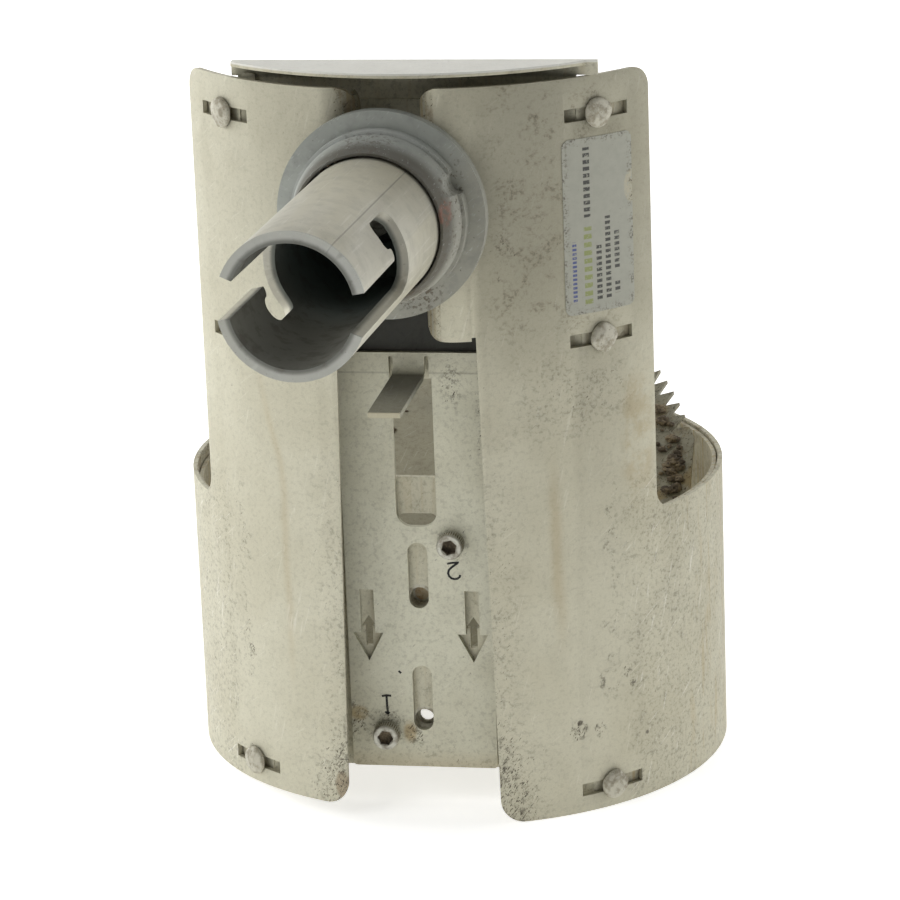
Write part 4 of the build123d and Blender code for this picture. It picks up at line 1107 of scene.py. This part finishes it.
# Width, and points of x and z in mm: the 1 and the 2 stand upside down, and a dot is beside the guide slot
NUMBER_STROKES = (
    (0.62, ((-11.15, 25.5), (-11.3, 28.0), (-11.35, 30.6))),
    (0.60, ((-12.6, 30.35), (-11.4, 30.6), (-10.1, 30.5))),
    (0.55, ((-11.9, 26.0), (-11.15, 25.4), (-10.7, 25.9))),
    (0.60, ((9.55, 64.5), (9.35, 63.9), (8.8, 63.45), (8.0, 63.3), (7.2, 63.5), (6.6, 64.1), (6.35, 64.9),
            (6.6, 65.8), (7.3, 66.5), (8.1, 67.1), (8.9, 67.7))),
    (0.55, ((6.2, 67.5), (7.4, 67.75), (9.3, 67.9))),
    (0.90, ((-7.7, 37.0), (-7.5, 37.2), (-7.3, 37.4))),
)


def number_finish():
    """Black marking, worn to brown in places."""
    board = Board("marked_number")
    worn = board.noise(board.place(), 1.6, 3.0, 0.6)
    colour = board.mix(worn.ramp(0.52, 0.66) * 0.6, (0.012, 0.012, 0.012), (0.10, 0.09, 0.07))
    return board.finish(colour, 0.0, 0.6 + 0.2 * worn, board.bump(worn, 0.03, 0.5))


class BARRIER_OT_numbers(bpy.types.Operator):
    """Mark the plain numbers 1 and 2 beside the clamp screws"""
    bl_idname = "barrier.numbers"
    bl_label = "Numbers"

    def execute(self, context):
        plate_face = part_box("screw_1")[0].y + SCREW_HEAD_HEIGHT
        mesh = bmesh.new()
        for width, points in NUMBER_STROKES:
            stroke(mesh, points, width, plate_face, context.scene.barrier_hardware.number_depth)
        add_piece("marked_numbers", mesh, number_finish(), "slide", "plate_steel")
        return {"FINISHED"}


def lump(mesh, place, size, rng, squash):
    """A crumb or lump of dried soil with an uneven skin, sizes in metres."""
    made = bmesh.ops.create_icosphere(mesh, subdivisions=3 if size > 0.0012 else 2, radius=1.0)
    shift = Vector([rng.uniform(0, 50) for _ in range(3)])
    for vertex in made["verts"]:
        coarse = noise.noise(vertex.co * 1.6 + shift)
        bulge = 1.0 + 0.55 * coarse + 0.25 * noise.noise(vertex.co * 4.5 + shift)
        vertex.co = place + Vector([c * bulge * size * s for c, s in zip(vertex.co, squash)])


FLAP_SLOPE = math.radians(39.5)  # the flap's rise from level, at rest


def on_liner(rng, count):
    """Places on the liner's wall, away from the front."""
    for _ in range(count):
        angle = math.radians(rng.choice((-1, 1)) * rng.uniform(60.0, 150.0))
        radius = 0.0689 - rng.uniform(0.0, 0.0006)
        yield Vector((radius * math.sin(angle), -radius * math.cos(angle), rng.uniform(0.012, 0.072)))


def on_flap(rng, count):
    """Places on the flap's upper face, on both sides of its clean middle."""
    proud = Vector((0.0, -math.sin(FLAP_SLOPE), math.cos(FLAP_SLOPE))) * 0.0008
    for _ in range(count):
        x = rng.choice((-1, 1)) * rng.uniform(0.020, 0.052)
        along = rng.uniform(0.024, 0.105)
        if along > 0.09:
            x *= 0.7
        yield FLAP_HINGE + Vector((x, along * math.cos(FLAP_SLOPE), along * math.sin(FLAP_SLOPE))) + proud


def at_flap_edge(rng, count):
    """Places near the flap's right edge, clear of the liner."""
    for _ in range(count):
        angle = math.radians(rng.gauss(102.0, 7.0))
        radius = 0.0628 - abs(rng.gauss(0.0, 0.0026))
        x, y = radius * math.sin(angle), -radius * math.cos(angle)
        if x < 0.059:
            yield Vector((x, y, FLAP_HINGE.z + (y - FLAP_HINGE.y) * math.tan(FLAP_SLOPE) + 0.0016))


def round_boss(rng, count):
    """Places where the key socket's tube stands on its boss."""
    for _ in range(count):
        angle = math.radians(rng.uniform(-60, 240))
        radius = rng.uniform(0.0181, 0.0188)
        sideways = KEY_RIGHT * radius * math.sin(angle)
        yield KEY_ROOT + KEY_OUT * 0.0152 + sideways + Vector((0, 0, radius * math.cos(angle)))


class BARRIER_OT_soil(bpy.types.Operator):
    """Leave dried soil in the corners"""
    bl_idname = "barrier.soil"
    bl_label = "Dried soil"

    def execute(self, context):
        soil = lump_finish("dried_soil", context.scene.barrier_finish)
        lumps = context.scene.barrier_hardware.lumps
        rng = random.Random(19)
        for name, places, sizes, squash, body, slot in (
                ("liner_crumbs", on_liner(rng, lumps), (0.4, 1.4), (0.8, 0.8, 1), "frame", "frame_steel"),
                ("flap_crumbs", on_flap(rng, lumps), (0.4, 1.6), (1.2, 1, 0.6), "flap", "flap_steel"),
                ("edge_clumps", at_flap_edge(rng, 70), (0.5, 1.7), (1.1, 1, 0.7), "flap", "flap_steel"),
                ("socket_crumbs", round_boss(rng, 26), (0.3, 0.7), (1, 1, 1), "key_socket", "disc_zinc")):
            mesh = bmesh.new()
            for place in places:
                lump(mesh, place, rng.uniform(*sizes) * MM, rng, squash)
            add_piece(name, mesh, soil, body, slot, 80.0)
        return {"FINISHED"}


def floor_mesh():
    """A floor that curves up into a wall behind, sizes in metres."""
    reach, wall, height, corner = 3.0, 1.6, 3.0, 0.7
    profile = [(-reach, 0.0), (wall - corner, 0.0)]
    for degrees in range(6, 91, 6):
        bend = math.radians(degrees)
        profile.append((wall - corner + corner * math.sin(bend), corner - corner * math.cos(bend)))
    profile.append((wall, height))
    mesh = bmesh.new()
    rows = [[mesh.verts.new((x, y, z)) for x in (-3.5, 3.5)] for y, z in profile]
    for low, high in zip(rows, rows[1:]):
        mesh.faces.new((low[0], low[1], high[1], high[0]))
    data = bpy.data.meshes.new("studio_floor")
    mesh.to_mesh(data)
    mesh.free()
    data.shade_smooth()
    return data


def floor_finish(glow):
    """Pale and even, with a glow of its own."""
    board = Board("studio_floor")
    pale = board.mix(board.noise(board.place(), 0.01, 2.0) * 0.04, (0.93, 0.93, 0.93), (0.90, 0.90, 0.90))
    return board.finish(pale, 0.0, 0.9, emission_color=(1.0, 1.0, 0.99, 1.0), emission_strength=glow)


def camera_turn(pan, tilt, roll):
    """The camera's rotation matrix, from its angles."""
    ahead = Vector((math.sin(pan) * math.cos(tilt), math.cos(pan) * math.cos(tilt), math.sin(tilt)))
    level = ahead.cross(Vector((0, 0, 1))).normalized()
    upright = level.cross(ahead)
    x_axis = math.cos(roll) * level + math.sin(roll) * upright
    y_axis = -math.sin(roll) * level + math.cos(roll) * upright
    return Matrix((x_axis, y_axis, -ahead)).transposed().to_4x4()


class BARRIER_OT_stage(bpy.types.Operator):
    """Set out the floor, the lights and the camera"""
    bl_idname = "barrier.stage"
    bl_label = "Studio"

    def execute(self, context):
        stage = context.scene.barrier_stage
        things = context.scene.collection.objects
        floor = bpy.data.objects.new("studio_floor", floor_mesh())
        floor.data.materials.append(floor_finish(stage.floor_glow))
        things.link(floor)

        middle_height = Vector((0.0, -0.03, 0.1))
        for name, place, size, power in (
                ("key_light", (-1.05, -0.85, 0.95), 1.1, stage.key_power),
                ("fill_light", (1.2, -1.0, 0.6), 1.2, stage.fill_power),
                ("left_rim", (-1.3, 0.35, 0.5), 0.9, stage.rim_power * 1.7),
                ("right_rim", (1.3, 0.25, 0.5), 0.9, stage.rim_power * 0.75),
                ("top_light", (0.0, 0.15, 1.5), 1.0, stage.key_power * 0.35)):
            light = bpy.data.lights.new(name, "AREA")
            light.shape = "DISK"
            light.size = size
            light.energy = power
            lamp = bpy.data.objects.new(name, light)
            lamp.location = place
            lamp.rotation_euler = (middle_height - lamp.location).to_track_quat("-Z", "Y").to_euler()
            things.link(lamp)

        world = bpy.data.worlds.new("studio_air")
        context.scene.world = world
        world.use_nodes = True
        air = world.node_tree.nodes["Background"]
        air.inputs["Color"].default_value = (1.0, 0.995, 0.985, 1.0)
        air.inputs["Strength"].default_value = stage.room
        context.scene.view_settings.view_transform = "Standard"

        camera = bpy.data.cameras.new("camera")
        camera.lens = stage.lens
        camera.sensor_width = 36.0
        camera.clip_end = 20.0
        eye = bpy.data.objects.new("camera", camera)
        turn = camera_turn(stage.pan, stage.tilt, stage.roll)
        eye.matrix_world = Matrix.Translation(stage.camera_place) @ turn
        things.link(eye)
        context.scene.camera = eye
        return {"FINISHED"}


STEPS = (
    BARRIER_OT_shells, BARRIER_OT_inner_frame, BARRIER_OT_slide_plate, BARRIER_OT_flap,
    BARRIER_OT_key_socket, BARRIER_OT_label, BARRIER_OT_clamp_screws, BARRIER_OT_nuts_and_bolt,
    BARRIER_OT_guide_rivets, BARRIER_OT_numbers, BARRIER_OT_soil, BARRIER_OT_stage,
)
GROUPS = {
    "barrier_finish": BarrierFinishSettings,
    "barrier_hardware": BarrierHardwareSettings,
    "barrier_stage": BarrierStageSettings,
}


class BARRIER_PT_panel(bpy.types.Panel):
    """Lists the barrier's settings and steps"""
    bl_idname = "BARRIER_PT_panel"
    bl_label = "Drain barrier"
    bl_space_type = "VIEW_3D"
    bl_region_type = "UI"
    bl_category = "Barrier"

    def draw(self, context):
        for group, settings in GROUPS.items():
            box = self.layout.box()
            for key in settings.__annotations__:
                box.prop(getattr(context.scene, group), key)
        for step in STEPS:
            self.layout.operator(step.bl_idname)


CLASSES = (*GROUPS.values(), *STEPS, BARRIER_PT_panel)


def register():
    for made in CLASSES:
        bpy.utils.register_class(made)
    for group, settings in GROUPS.items():
        setattr(bpy.types.Scene, group, bpy.props.PointerProperty(type=settings))


def unregister():
    for group in GROUPS:
        delattr(bpy.types.Scene, group)
    for made in reversed(CLASSES):
        bpy.utils.unregister_class(made)


def main():
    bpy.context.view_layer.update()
    register()
    for step in STEPS:
        section, action = step.bl_idname.split(".")
        getattr(getattr(bpy.ops, section), action)()


if __name__ == "__main__":
    main()
